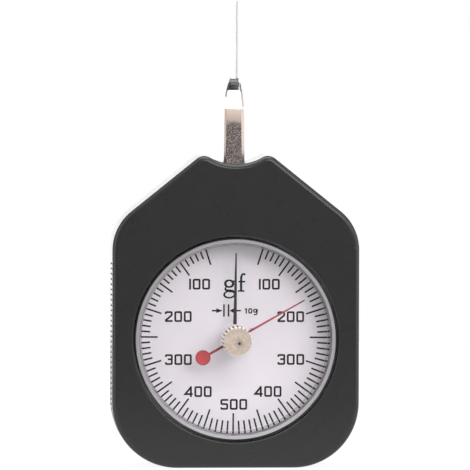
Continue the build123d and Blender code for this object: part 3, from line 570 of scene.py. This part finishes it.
@dataclass(frozen=True)
class KnobFinish(Finish):
    """The knob's turned metal, with a painted highlight on its rim and painted shade between its teeth
    and in its centre mark.
    """

    pointers: "Pointers"
    name: str = "knob_turned"
    colour: Rgb = (0.74, 0.62, 0.53)
    worn: Rgb = (0.55, 0.45, 0.37)
    # Painted highlight: the rim's lighter colour.
    rim: Rgb = (0.80, 0.72, 0.67)
    # Painted shade: the colour of the shade between the teeth.
    gap: Rgb = (0.12, 0.09, 0.08)
    # Painted shade: the colour of the shade in the centre mark and round it.
    dimple_shade: Rgb = (0.05, 0.04, 0.035)
    metallic: float = 0.8
    ring_mm: float = 0.22
    mottle_mm: Span = (0.3, 0.8)
    rim_span: Span = (-0.03, 0.03)
    gap_span: Span = (0.1, -0.5)
    halo_mm: float = 1.1
    shade_halo: float = 0.4
    mark_inner: float = 0.7
    relief: Span = (0.003, 0.3)
    roughness: Span = (0.34, 0.46)

    def lay(self, paint: Paint) -> None:
        """Lays the turned face, the rim's painted highlight, and painted shade in the gaps between its
        teeth and in the centre mark.

        Args:
            paint: The new material.
        """
        pointers = self.pointers
        rings = paint.turned(self.ring_mm)
        patches, _ = paint.grain(*self.mottle_mm)
        mottled = paint.math("ADD", rings, paint.math("SUBTRACT", patches, 0.5))
        colour = paint.blend(paint.spread(mottled), self.worn, self.colour)
        # Painted highlight: the rim beyond the face is lighter.
        out = paint.distance_mm(0.0, pointers.axis_z_mm)
        rim = paint.step(out, pointers.knob_face_r_mm, self.rim_span)
        colour = paint.blend(rim, colour, self.rim)
        # Painted shade between the teeth, on the rim only.
        x, _, z = paint.place_mm()
        turn = paint.math("ARCTAN2", paint.math("SUBTRACT", z, pointers.axis_z_mm), x)
        wave = paint.math("COSINE", paint.both(turn, float(pointers.knob_teeth)))
        colour = paint.blend(paint.both(paint.ramp(wave, *self.gap_span), rim), colour, self.gap)
        # Painted shade in the centre mark, and softer round it.
        near = paint.distance_mm(*pointers.knob_mark_at)
        mark_r = pointers.knob_mark_r_mm
        shade_halo = paint.ramp(near, mark_r + self.halo_mm, mark_r)
        colour = paint.blend(paint.both(shade_halo, self.shade_halo), colour, self.dimple_shade)
        mark = paint.ramp(near, mark_r, mark_r * self.mark_inner)
        self.cover(paint, paint.blend(mark, colour, self.dimple_shade), rings)


@dataclass(frozen=True)
class BlackFinish(Finish):
    """The main pointer's black lacquer on a pale hub."""

    pointers: "Pointers"
    name: str = "lacquer_black"
    black: Rgb = (0.006, 0.006, 0.006)
    hub: Rgb = (0.72, 0.67, 0.70)
    grain_mm: Span = (0.3, 1.2)
    hub_span: Span = (0.02, -0.02)
    roughness: Span = (0.42, 0.52)

    def lay(self, paint: Paint) -> None:
        """Lays the lacquer and the hub.

        Args:
            paint: The new material.
        """
        patches, _ = paint.grain(*self.grain_mm)
        out = paint.distance_mm(0.0, self.pointers.axis_z_mm)
        hub = paint.step(out, self.pointers.hub_r_mm, self.hub_span)
        self.cover(paint, paint.blend(hub, self.black, self.hub), patches)


@dataclass(frozen=True)
class RedFinish(Finish):
    """The peak pointer's red lacquer: bright on its disc, darker along its arm and at its tip, with
    painted shade near the knob and at the disc's rim.
    """

    pointers: "Pointers"
    name: str = "lacquer_red"
    red: Rgb = (0.44, 0.036, 0.048)
    dark: Rgb = (0.10, 0.012, 0.03)
    lighter: float = 1.25
    grain_mm: Span = (0.3, 1.2)
    tip_span: Span = (0.0, 1.0)
    knob_shadow_span: Span = (3.0, 0.0)
    arm_span: Span = (0.1, 0.3)
    rim_span: Span = (-0.35, -0.1)
    arm_shade: float = 0.30
    # Painted shade near the knob and at the disc's rim.
    knob_shadow: float = 0.7
    rim_shade: float = 0.6
    roughness: Span = (0.40, 0.50)

    def lay(self, paint: Paint) -> None:
        """Lays the red and then the dark over it: darker along the arm and at the tip, with painted
        shade near the knob and at the disc's rim.

        Args:
            paint: The new material.
        """
        pointers = self.pointers
        patches, _ = paint.grain(*self.grain_mm)
        colour = paint.blend(paint.spread(patches), self.red, shade(self.red, self.lighter))
        out = paint.distance_mm(0.0, pointers.axis_z_mm)
        dark = paint.step(out, pointers.dark_tip_mm, self.tip_span)
        # Painted shade near the knob.
        near = paint.step(out, pointers.knob_shadow_mm, self.knob_shadow_span)
        off, edge = paint.distance_mm(*pointers.disc_at), pointers.disc_r_mm
        arm = paint.step(off, edge, self.arm_span)
        inside = paint.step(off, edge, self.arm_span[::-1])
        # Painted shade at the disc's rim.
        rim = paint.both(paint.step(off, edge, self.rim_span), inside)
        for mask, amount in ((near, self.knob_shadow), (arm, self.arm_shade), (rim, self.rim_shade)):
            dark = paint.math("MAXIMUM", dark, paint.both(mask, amount))
        self.cover(paint, paint.blend(dark, colour, self.dark), patches)


@dataclass(frozen=True)
class GlassFinish(Finish):
    """Clear sheet that lets lamps through to what is behind it."""

    name: str
    colour: Rgb = (1.0, 1.0, 1.0)
    ior: float = 1.49

    def lay(self, paint: Paint) -> None:
        """Lays the glass, and nothing where a lamp's light goes through it.

        Args:
            paint: The new material.
        """
        paint.coat(Base_Color=self.colour, Roughness=0.0, IOR=self.ior, Transmission_Weight=1.0)
        shadow = paint.add("LightPath").outputs["Is Shadow Ray"]
        clear = paint.add("BsdfTransparent").outputs[0]
        paint.finish(paint.show(shadow, paint.shader.outputs[0], clear))


class Finishes:
    """The finishes that several pieces share, each built once."""

    def __init__(self, effects: Effects) -> None:
        """Builds them.

        Args:
            effects: The shared node groups.
        """
        self.effects = effects
        looks = (
            SkinFinish("case_skin", (0.012, 0.012, 0.012), (0.27, 0.30), patch_mm=3.0, patch_gain=1.06),
            SkinFinish("dial_enamel", (0.84, 0.79, 0.84), (0.5, 0.6), patch_gain=1.01),
            SkinFinish("dial_ink", (0.004, 0.003, 0.005), (0.5, 0.6), specular=0.15),
            SkinFinish("spacer_skin", (0.01, 0.01, 0.01), (0.4, 0.5), grain_strength=0.5),
            GlassFinish("crystal_clear"),
            MetalFinish("steel_turned", (0.56, 0.56, 0.57), (0.25, 0.35)),
            MetalFinish("washer_steel", (0.12, 0.12, 0.13), (0.3, 0.4)),
            MetalFinish("screw_plated", (0.50, 0.50, 0.52), (0.3, 0.4)),
            MetalFinish("spring_blued", (0.16, 0.19, 0.30), (0.25, 0.35)),
            MetalFinish("brass_lacquered", (0.72, 0.52, 0.22), (0.28, 0.38), Texture.BRUSHED),
            MetalFinish("bronze_sintered", (0.50, 0.32, 0.16), (0.4, 0.5)),
        )
        made = [look.material(effects) for look in looks]
        self.case, self.dial, self.ink, self.spacer, self.crystal, *metals = made
        self.steel, self.washer, self.screw, self.spring, self.brass, self.bronze = metals


# ---- printing on the dial ----

SIDE_SHARE = 0.49


class Ink:
    """Collects flat printed shapes and makes one thin piece of them.

    Places are in millimetres on the dial: x to the right and y up from its centre.
    """

    least_lean = 0.4

    def __init__(self, name: str, dial: "Dial") -> None:
        """Starts an empty print.

        Args:
            name: The piece's name.
            dial: The dial it is printed on.
        """
        self.name = name
        self.back = dial.surface_y
        self.front = dial.surface_y - dial.ink_height
        self.centre_z = dial.centre_z
        self.verts: list[tuple[float, float, float]] = []
        self.faces: list[tuple[int, ...]] = []

    def _point(self, place: Point, depth: float) -> int:
        """Adds a vertex and gives its number."""
        self.verts.append((place[0] * MM, depth * MM, (self.centre_z + place[1]) * MM))
        return len(self.verts) - 1

    def band(self, left: Line, right: Line, closed: bool = False) -> None:
        """Fills the strip between two lines of points.

        Args:
            left: The line on the left of the direction of travel.
            right: The line on its right, with as many points.
            closed: Whether the strip comes back to its start.
        """
        rows = []
        for pair in zip(left, right):
            rows.append([self._point(p, depth) for depth in (self.front, self.back) for p in pair])
        steps = len(rows) if closed else len(rows) - 1
        for i in range(steps):
            la, ra, lb, rb = rows[i]
            lc, rc, ld, rd = rows[(i + 1) % len(rows)]
            self.faces += [(la, lc, rc, ra), (lb, rb, rd, ld), (la, lb, ld, lc), (ra, rc, rd, rb)]
        if not closed:
            la, ra, lb, rb = rows[0]
            lc, rc, ld, rd = rows[-1]
            self.faces += [(la, ra, rb, lb), (lc, ld, rd, rc)]

    def shape(self, outline: Line) -> None:
        """Fills a convex outline.

        Args:
            outline: Its corners, anticlockwise as the dial is read.
        """
        front = [self._point(p, self.front) for p in outline]
        back = [self._point(p, self.back) for p in outline]
        self.faces += [tuple(front), tuple(reversed(back))]
        count = len(outline)
        for i in range(count):
            j = (i + 1) % count
            self.faces.append((front[j], front[i], back[i], back[j]))

    def stroke(self, path: Line, width: float | list[float], closed: bool = False) -> None:
        """Draws a line of a given width.

        Args:
            path: Its middle line.
            width: Its width, one for all points or one for each.
            closed: Whether it comes back to its start.
        """
        spots = [Vector(point) for point in path]
        count = len(spots)
        widths = width if isinstance(width, list) else [width] * count
        left: Line = []
        right: Line = []
        for i, here in enumerate(spots):
            into = (here - spots[i - 1] if closed or i > 0 else spots[1] - here).normalized()
            ends = not closed and i == count - 1
            out = into if ends else (spots[(i + 1) % count] - here).normalized()
            side = (into + out).normalized().orthogonal()
            half = side * (widths[i] / 2 / max(self.least_lean, side.dot(into.orthogonal())))
            left.append(here + half)
            right.append(here - half)
        self.band(left, right, closed)

    def build(self, material: Material, slot: Slot) -> Piece:
        """Makes the piece, dresses it and puts it on the case.

        Args:
            material: The ink's material.
            slot: The record's slot for it. Not used.

        Returns:
            The piece.
        """
        mesh = bpy.data.meshes.new(self.name)
        mesh.from_pydata(self.verts, [], self.faces)
        mesh.validate()
        mesh.update()
        mesh.materials.append(material)
        piece = bpy.data.objects.new(self.name, mesh)
        bpy.context.scene.collection.objects.link(piece)
        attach(piece, PRINT_BODY)
        return piece


def rounded(path: Line, radius: float, closed: bool = False, steps: int = 5) -> Line:
    """The path with its corners rounded.

    Args:
        path: Corner points.
        radius: The radius asked for. Short sides get less.
        closed: Whether the path comes back to its start.
        steps: Segments in each corner.

    Returns:
        The points of the rounded path.
    """
    spots = [Vector(point) for point in path]
    count = len(spots)
    result: Line = []
    for i, here in enumerate(spots):
        if not closed and i in (0, count - 1):
            result.append(here)
            continue
        sides = (spots[i - 1] - here, spots[(i + 1) % count] - here)
        room = SIDE_SHARE * min(side.length for side in sides)
        reach = min(radius / math.tan(sides[0].angle(sides[1]) / 2), room)
        start, end = (here + side.normalized() * reach for side in sides)
        for k in range(steps + 1):
            t = k / steps
            result.append(start * (1 - t) ** 2 + here * (2 * t * (1 - t)) + end * t**2)
    return result


def flow(points: list[tuple[float, float, float]], steps: int = 6) -> tuple[Line, list[float]]:
    """A smooth line through points, each with a width.

    Args:
        points: x, y and width at each point.
        steps: Segments between two points.

    Returns:
        The middle line and its widths, ready for a stroke.
    """
    ends = [Vector(point) for point in (points[0], *points, points[-1])]
    spots = []
    for a, b, c, d in zip(ends, ends[1:], ends[2:], ends[3:]):
        for k in range(steps):
            t = k / steps
            bend = (2 * a - 5 * b + 4 * c - d) * t**2 + (3 * b - a - 3 * c + d) * t**3
            spots.append((2 * b + (c - a) * t + bend) / 2)
    spots.append(ends[-1])
    return [spot.xy for spot in spots], [spot.z for spot in spots]


def oval(centre: Point, radii: Point, widths: Span, steps: int = 32) -> tuple[Line, list[float]]:
    """A closed oval line that swells at its sides.

    Args:
        centre: Its centre.
        radii: Half its width and half its height, at the middle of the line.
        widths: The line's width at top and bottom, and at the sides.
        steps: Segments all round.

    Returns:
        The middle line and its widths.
    """
    thin, thick = widths
    angles = [2 * math.pi * k / steps for k in range(steps)]
    path = [(centre[0] + radii[0] * math.cos(a), centre[1] + radii[1] * math.sin(a)) for a in angles]
    return path, [thin + (thick - thin) * abs(math.cos(a)) for a in angles]


@dataclass(frozen=True)
class Numerals:
    """Squarish numerals drawn with one width of line. Sizes in millimetres."""

    height: float = 2.72
    width: float = 1.97
    line: float = 0.48
    corner: float = 0.25
    gap: float = 0.42

    def strokes(self, digit: str) -> list[Line]:
        """The middle lines of a digit.

        Args:
            digit: A digit from 0 to 5.

        Returns:
            Paths from the digit's lower left corner. The 0's path is closed.
        """
        wide, tall = self.width, self.height
        low = self.line / 2
        right = wide - low
        high = tall - low
        middle = tall * 0.53
        stem = wide * 0.78
        bar = tall * 0.27
        shapes = {
            "0": [[(low, low), (right, low), (right, high), (low, high)]],
            "1": [[(low, 0.0), (low, tall)]],
            "2": [
                [(low, tall * 0.73), (low, high), (right, high), (right, tall * 0.62)]
                + [(low, low + 0.2), (low, low), (wide, low)]
            ],
            "3": [
                [(low, tall * 0.74), (low, high), (right, high)]
                + [(right, low), (low, low), (low, tall * 0.26)],
                [(wide * 0.36, middle), (right, middle)],
            ],
            "4": [[(stem, 0.0), (stem, tall)], [(stem, high), (0.1, bar), (wide, bar)]],
            "5": [
                [(wide, high), (low, high), (low, middle), (right, middle)]
                + [(right, low), (low, low), (low, tall * 0.24)]
            ],
        }
        return shapes[digit]

    def digit_width(self, digit: str) -> float:
        """How wide a digit is."""
        return self.line if digit == "1" else self.width

    def write(self, ink: Ink, text: str, centre: Point) -> None:
        """Writes a number with its middle at a place.

        Args:
            ink: The print it goes into.
            text: The digits.
            centre: The middle of the number.
        """
        total = sum(self.digit_width(d) for d in text) + self.gap * (len(text) - 1)
        x = centre[0] - total / 2
        y = centre[1] - self.height / 2
        for digit in text:
            closed = digit == "0"
            for path in self.strokes(digit):
                line = path if digit in "14" else rounded(path, self.corner, closed)
                ink.stroke([(x + px, y + py) for px, py in line], self.line, closed)
            x += self.digit_width(digit) + self.gap


# ---- sub-assemblies ----


class SubAssembly:
    """Pieces that come apart together on the bench."""

    def dress(self, material: Material, slot: Slot, *nodes: str) -> list[Piece]:
        """Gives CAD nodes a material.

        Args:
            material: The material.
            slot: The record's slot it belongs to. Not used.
            nodes: The nodes' names.

        Returns:
            The dressed pieces.
        """
        pieces = [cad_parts[name] for name in nodes]
        for piece in pieces:
            piece.data.materials.clear()
            piece.data.materials.append(material)
        return pieces

    def build(self, finishes: Finishes) -> list[Piece]:
        """Builds what the CAD doesn't hold and dresses every piece.

        Args:
            finishes: The shared finishes.

        Returns:
            The pieces.
        """
        raise NotImplementedError


@dataclass
class Housing(SubAssembly):
    """The two moulded shells and the screws that hold them together."""

    def build(self, finishes: Finishes) -> list[Piece]:
        """Dresses the shells and their screws."""
        shells = self.dress(finishes.case, Slot.CASE, "front_case", "rear_cover")
        return shells + self.dress(finishes.screw, Slot.SCREW, "cover_screws")


@dataclass
class Window(SubAssembly):
    """The bezel with its crystal, the knob's bush and the spacer behind them. Sizes in millimetres."""

    axis_z_mm: float = 32.3
    bore_r_mm: float = 23.7

    def build(self, finishes: Finishes) -> list[Piece]:
        """Dresses the window's pieces.

        Args:
            finishes: The shared finishes.

        Returns:
            The pieces.
        """
        bezel = BezelFinish(self).material(finishes.effects)
        return [
            *self.dress(bezel, Slot.BEZEL, "bezel"),
            *self.dress(finishes.crystal, Slot.CRYSTAL, "crystal"),
            *self.dress(finishes.brass, Slot.BRASS, "knob_bush"),
            *self.dress(finishes.spacer, Slot.SPACER, "dial_spacer"),
            *self.dress(finishes.screw, Slot.SCREW, "bezel_screws"),
        ]


@dataclass
class Dial(SubAssembly):
    """The dial plate and everything printed on it. Places in millimetres from the dial's centre."""

    surface_y: float = -0.1
    ink_height: float = 0.02
    centre_z: float = 32.3
    step_deg: float = 3.6
    first_deg: float = 18.0
    last_deg: float = 342.0
    long_every: int = 5
    outer_r: float = 23.66
    long_inner_r: float = 19.15
    short_inner_r: float = 21.1
    mark_width: float = 0.41
    tilt_deg: float = 0.25
    legend_y: float = 6.68
    legend_line: float = 0.40
    arrow_half: float = 0.60

    def scale(self) -> Ink:
        """The scale's marks, clockwise from the top.

        Returns:
            The print.
        """
        ink = Ink("dial_scale", self)
        count = round((self.last_deg - self.first_deg) / self.step_deg)
        for i in range(count + 1):
            angle = math.radians(self.first_deg + i * self.step_deg + self.tilt_deg)
            inner = self.long_inner_r if i % self.long_every == 0 else self.short_inner_r
            ends = [(math.sin(angle) * r, math.cos(angle) * r) for r in (inner, self.outer_r)]
            ink.stroke(ends, self.mark_width)
        return ink

    def numbers(self) -> Ink:
        """The numbers on both halves of the scale.

        Returns:
            The print.
        """
        ink = Ink("dial_numerals", self)
        writer = Numerals()
        places = {
            "100": [(-8.63, 13.37), (8.93, 13.32)],
            "200": [(-13.99, 5.22), (14.34, 5.14)],
            "300": [(-13.94, -5.62), (14.39, -5.64)],
            "400": [(-8.91, -13.70), (8.69, -13.70)],
            "500": [(0.04, -16.94)],
        }
        for text, centres in places.items():
            for centre in centres:
                writer.write(ink, text, centre)
        return ink

    def unit(self) -> Ink:
        """The unit, gram-force, in two small letters with feet and swelling lines.

        Returns:
            The print.
        """
        ink = Ink("dial_unit", self)
        ink.stroke(*oval((-1.17, 13.48), (1.00, 0.84), (0.40, 0.62)), closed=True)
        ear = [(-0.50, 13.90, 0.2), (-0.18, 14.10, 0.34), (0.34, 14.06, 0.42)]
        tail = [
            (-1.72, 12.84, 0.26), (-2.12, 12.38, 0.36), (-2.02, 11.92, 0.50), (-1.40, 11.70, 0.66),
            (-0.55, 11.62, 0.68), (0.10, 11.34, 0.62), (0.26, 10.82, 0.54), (-0.05, 10.28, 0.44),
            (-0.80, 9.98, 0.40), (-1.60, 9.98, 0.40), (-2.25, 10.28, 0.46), (-2.42, 10.75, 0.50),
            (-2.18, 11.20, 0.42), (-1.60, 11.52, 0.32),
        ]
        hook = [
            (1.83, 11.60, 0.56), (1.83, 14.50, 0.56), (1.90, 15.30, 0.54), (2.15, 15.80, 0.46),
            (2.50, 15.94, 0.44), (2.84, 15.68, 0.60),
        ]
        for points in (ear, tail, hook):
            ink.stroke(*flow(points))
        ink.stroke([(1.17, 13.99), (2.83, 13.99)], 0.42)
        ink.stroke([(1.02, 11.64), (2.66, 11.64)], 0.40)
        return ink

    def legend(self) -> Ink:
        """What one division stands for: two arrows at two bars, and the amount.

        Returns:
            The print.
        """
        ink = Ink("dial_legend", self)
        level = self.legend_y
        for shaft, base, tip in (((-5.53, -4.30), -4.40, -2.78), ((1.80, 0.0), 0.04, -1.10)):
            ink.stroke([(x, level) for x in shaft], self.legend_line)
            half = math.copysign(self.arrow_half, tip - base)
            ink.shape([(base, level - half), (tip, level), (base, level + half)])
        for x in (-2.48, -1.32):
            ink.stroke([(x, 5.19), (x, 8.29)], self.legend_line)
        small = Numerals(height=1.40, width=1.04, line=0.34, corner=0.36, gap=0.32)
        small.write(ink, "10", (3.82, 6.61))
        ink.stroke([(2.78, 6.96), (3.16, 7.16)], 0.26)
        ink.stroke(*oval((5.38, 6.64), (0.36, 0.36), (0.31, 0.33)), closed=True)
        tail = [(5.86, 7.12, 0.33), (5.86, 6.40, 0.33), (5.80, 5.88, 0.33), (5.45, 5.66, 0.31)]
        ink.stroke(*flow([*tail, (5.02, 5.78, 0.30)]))
        return ink

    def build(self, finishes: Finishes) -> list[Piece]:
        """Dresses the plate and prints on it.

        Args:
            finishes: The shared finishes.

        Returns:
            The pieces.
        """
        prints = (self.scale(), self.numbers(), self.unit(), self.legend())
        return [
            *self.dress(finishes.dial, Slot.DIAL, "dial"),
            *(p.build(finishes.ink, Slot.BLACK) for p in prints),
        ]


@dataclass
class Movement(SubAssembly):
    """What turns the lever's small swing into the pointer's full turn."""

    def build(self, finishes: Finishes) -> list[Piece]:
        """Dresses the frame, the gearing and the springs.

        Args:
            finishes: The shared finishes.

        Returns:
            The pieces.
        """
        plates = ("front_plate", "pillars", "rear_bridge", "spring_clamp", "hairspring_stud")
        gearing = ("sector_gear", "hairspring_collet")
        bushes = ("lever_bush_front", "lever_bush_rear", "pinion_bush_front", "pinion_bush_rear")
        turned = ("stop_pins", "zero_post", "lever_arbor", "drive_pin", "pinion_arbor")
        return [
            *self.dress(finishes.brass, Slot.BRASS, *plates, *gearing),
            *self.dress(finishes.bronze, Slot.BRONZE, *bushes),
            *self.dress(finishes.steel, Slot.STEEL, *turned),
            *self.dress(finishes.spring, Slot.SPRING, "leaf_springs", "hairspring"),
            *self.dress(finishes.screw, Slot.SCREW, "bridge_screws", "clamp_screws"),
        ]


@dataclass
class Pointers(SubAssembly):
    """The main pointer, the peak pointer and the knob that resets it. Sizes in millimetres."""

    axis_z_mm: float = 32.3
    hub_r_mm: float = 3.52
    # Places of painted marks: shade on the peak pointer near the knob and at its disc's rim, the knob's
    # rim highlight, and shade in the knob's centre mark.
    knob_shadow_mm: float = 4.5
    dark_tip_mm: float = 17.6
    disc_at: Point = (-8.18, 27.67)
    disc_r_mm: float = 1.9
    knob_face_r_mm: float = 3.42
    knob_mark_at: Point = (0.42, 31.7)
    knob_mark_r_mm: float = 0.40
    knob_teeth: int = 22

    def build(self, finishes: Finishes) -> list[Piece]:
        """Dresses both pointers, the knob and the small pieces between them.

        Args:
            finishes: The shared finishes.

        Returns:
            The pieces.
        """
        effects = finishes.effects
        return [
            *self.dress(BlackFinish(self).material(effects), Slot.BLACK, "main_pointer"),
            *self.dress(RedFinish(self).material(effects), Slot.RED, "peak_pointer"),
            *self.dress(KnobFinish(self).material(effects), Slot.KNOB, "reset_knob"),
            *self.dress(finishes.steel, Slot.STEEL, "drag_pin"),
            *self.dress(finishes.spring, Slot.SPRING, "peak_washer"),
        ]


@dataclass
class Lever(SubAssembly):
    """The lever with its fork and the feeler that swivels in it. Heights and widths in millimetres."""

    base_mm: float = 76.24
    dull_top_mm: float = 86.6
    facet_mm: float = 89.85
    fork_mm: float = 94.4
    taper: float = 0.0127
    head_taper: float = 0.10
    bevel_left_mm: float = 2.15
    bevel_right_mm: float = 1.88
    # The rest place painted marks: shade along the head's edges and in the fork's slot, the facet's
    # highlight on its front half, and the feeler's shaded flanks and pivot end.
    outline_left_mm: float = 1.75
    outline_left_low_mm: float = 92.6
    outline_right_mm: float = 1.86
    cheek_mm: float = 1.1
    front_half_mm: float = 0.35
    eye_top_mm: float = 97.3
    feeler_middle_mm: float = 0.15
    feeler_half_mm: float = 0.375

    def build(self, finishes: Finishes) -> list[Piece]:
        """Dresses the lever, its fork's pin and washer, and the feeler.

        Args:
            finishes: The shared finishes.

        Returns:
            The pieces.
        """
        effects = finishes.effects
        return [
            *self.dress(LeverFinish(self).material(effects), Slot.LEVER, "lever_arm"),
            *self.dress(finishes.steel, Slot.STEEL, "fork_pin"),
            *self.dress(finishes.washer, Slot.STEEL, "friction_washer"),
            *self.dress(FeelerFinish(self).material(effects), Slot.FEELER, "feeler"),
        ]


# ---- studio ----


@dataclass(frozen=True)
class SoftBox:
    """A rectangular lamp that looks at the gauge. Metres and watts."""

    name: str
    place: tuple[float, float, float]
    width: float
    height: float
    power: float

    def build(self, target: Vector) -> None:
        """Hangs the lamp and turns it to a target.

        Args:
            target: What it looks at.
        """
        lamp = bpy.data.lights.new(self.name, "AREA")
        lamp.shape = "RECTANGLE"
        lamp.size = self.width
        lamp.size_y = self.height
        lamp.energy = self.power
        holder = bpy.data.objects.new(self.name, lamp)
        bpy.context.scene.collection.objects.link(holder)
        holder.location = self.place
        aim = target - Vector(self.place)
        holder.rotation_euler = aim.to_track_quat("-Z", "Y").to_euler()


@dataclass
class Studio:
    """Floor, world, lamps and camera. Metres, degrees and watts."""

    floor_half: float = 6.0
    floor_front: float = -0.12
    floor_back: float = 0.45
    floor_drop: float = 0.00002
    floor_colour: Rgb = (0.95, 0.95, 0.95)
    floor_glow: float = 1.06
    floor_glow_share: float = 0.88
    white: Rgb = (1.0, 1.0, 1.0)
    tent_levels: tuple[Span, ...] = (
        (0.0, 0.27), (0.10, 0.30), (0.20, 1.2), (0.62, 1.2), (0.74, 0.08), (0.925, 0.08), (0.955, 2.5)
    )
    aim_at: tuple[float, float, float] = (0.0, 0.0, 0.05)
    boxes: tuple[SoftBox, ...] = (
        SoftBox("softbox_left", (-0.60, -0.36, 0.20), 0.38, 0.55, 0.4),
        SoftBox("softbox_right", (0.62, -0.30, 0.20), 0.34, 0.55, 0.6),
        SoftBox("softbox_key", (0.25, -0.80, 0.36), 0.46, 0.32, 2.7),
        SoftBox("softbox_top", (0.0, -0.05, 0.65), 0.6, 0.45, 2.6),
    )
    camera_at: tuple[float, float, float] = (-0.156736, -2.504188, 0.202948)
    yaw_deg: float = 3.588
    pitch_deg: float = 3.306
    roll_deg: float = 0.132
    focal_px: float = 10000.0
    picture_px: float = 470.0
    sensor_mm: float = 36.0
    clip: Span = (0.1, 50.0)

    def build(self) -> None:
        """Makes all of it."""
        bpy.context.scene.view_settings.view_transform = "Standard"
        self.world()
        self.floor()
        for box in self.boxes:
            box.build(Vector(self.aim_at))
        self.camera()

    def world(self) -> None:
        """A soft tent: dim where the camera stands, bright at the sides and behind."""
        world = bpy.data.worlds.new("tent")
        bpy.context.scene.world = world
        world.use_nodes = True
        nodes = Nodes(world.node_tree)
        _, across, _ = nodes.split(nodes.add("TexCoord").outputs["Generated"])
        tent = nodes.add("ValToRGB", Fac=nodes.ramp(across, -1.0, 1.0))
        stops = tent.color_ramp.elements
        stops.remove(stops[1])
        for position, level in self.tent_levels:
            stop = stops[0] if position == 0.0 else stops.new(position)
            stop.color = (level, level, level, 1.0)
        seen = nodes.add("LightPath").outputs["Is Camera Ray"]
        background = world.node_tree.nodes["Background"]
        nodes.set(background, Color=nodes.blend(seen, tent.outputs[0], self.white), Strength=1.0)

    def floor(self) -> None:
        """A pale table. The camera sees it mostly white, with the gauge's shadow."""
        mesh = bpy.data.meshes.new("floor")
        half, front, back = self.floor_half, self.floor_front, self.floor_back
        corners = [(-half, front, 0), (half, front, 0), (half, back, 0), (-half, back, 0)]
        mesh.from_pydata(corners, [], [(0, 1, 2, 3)])
        floor = bpy.data.objects.new("floor", mesh)
        bpy.context.scene.collection.objects.link(floor)
        floor.location.z = -self.floor_drop
        paint = Paint("floor_white")
        paint.coat(Base_Color=self.floor_colour, Roughness=0.9, Specular_IOR_Level=0.0)
        table = paint.shader.outputs[0]
        glow = paint.add("Emission", Strength=self.floor_glow).outputs[0]
        path = paint.add("LightPath").outputs
        seen = paint.math("MAXIMUM", path["Is Camera Ray"], path["Is Glossy Ray"])
        seen = paint.math("MAXIMUM", seen, path["Is Transmission Ray"])
        paint.finish(paint.show(seen, table, paint.show(self.floor_glow_share, table, glow)))
        mesh.materials.append(paint.material)

    def camera(self) -> None:
        """A far camera a little to the left of the gauge and a little above it."""
        data = bpy.data.cameras.new("camera")
        data.sensor_width = self.sensor_mm
        data.lens = self.focal_px * self.sensor_mm / self.picture_px
        data.clip_start, data.clip_end = self.clip
        camera = bpy.data.objects.new("camera", data)
        bpy.context.scene.collection.objects.link(camera)
        turns = ((-self.yaw_deg, "Z"), (90.0 - self.pitch_deg, "X"), (self.roll_deg, "Z"))
        place = Matrix.Translation(self.camera_at)
        for angle, axis in turns:
            place = place @ Matrix.Rotation(math.radians(angle), 4, axis)
        camera.matrix_world = place
        bpy.context.scene.camera = camera


def main() -> None:
    """Builds and dresses every class in order."""
    logging.basicConfig(level=logging.INFO, format="%(name)s: %(message)s")
    finishes = Finishes(Effects())
    for assembly in (Housing(), Window(), Dial(), Movement(), Pointers(), Lever()):
        for piece in assembly.build(finishes):
            log.info("%s: %s in %s", type(assembly).__name__, piece.name, piece.data.materials[0].name)
    Studio().build()


if __name__ == "__main__":
    main()
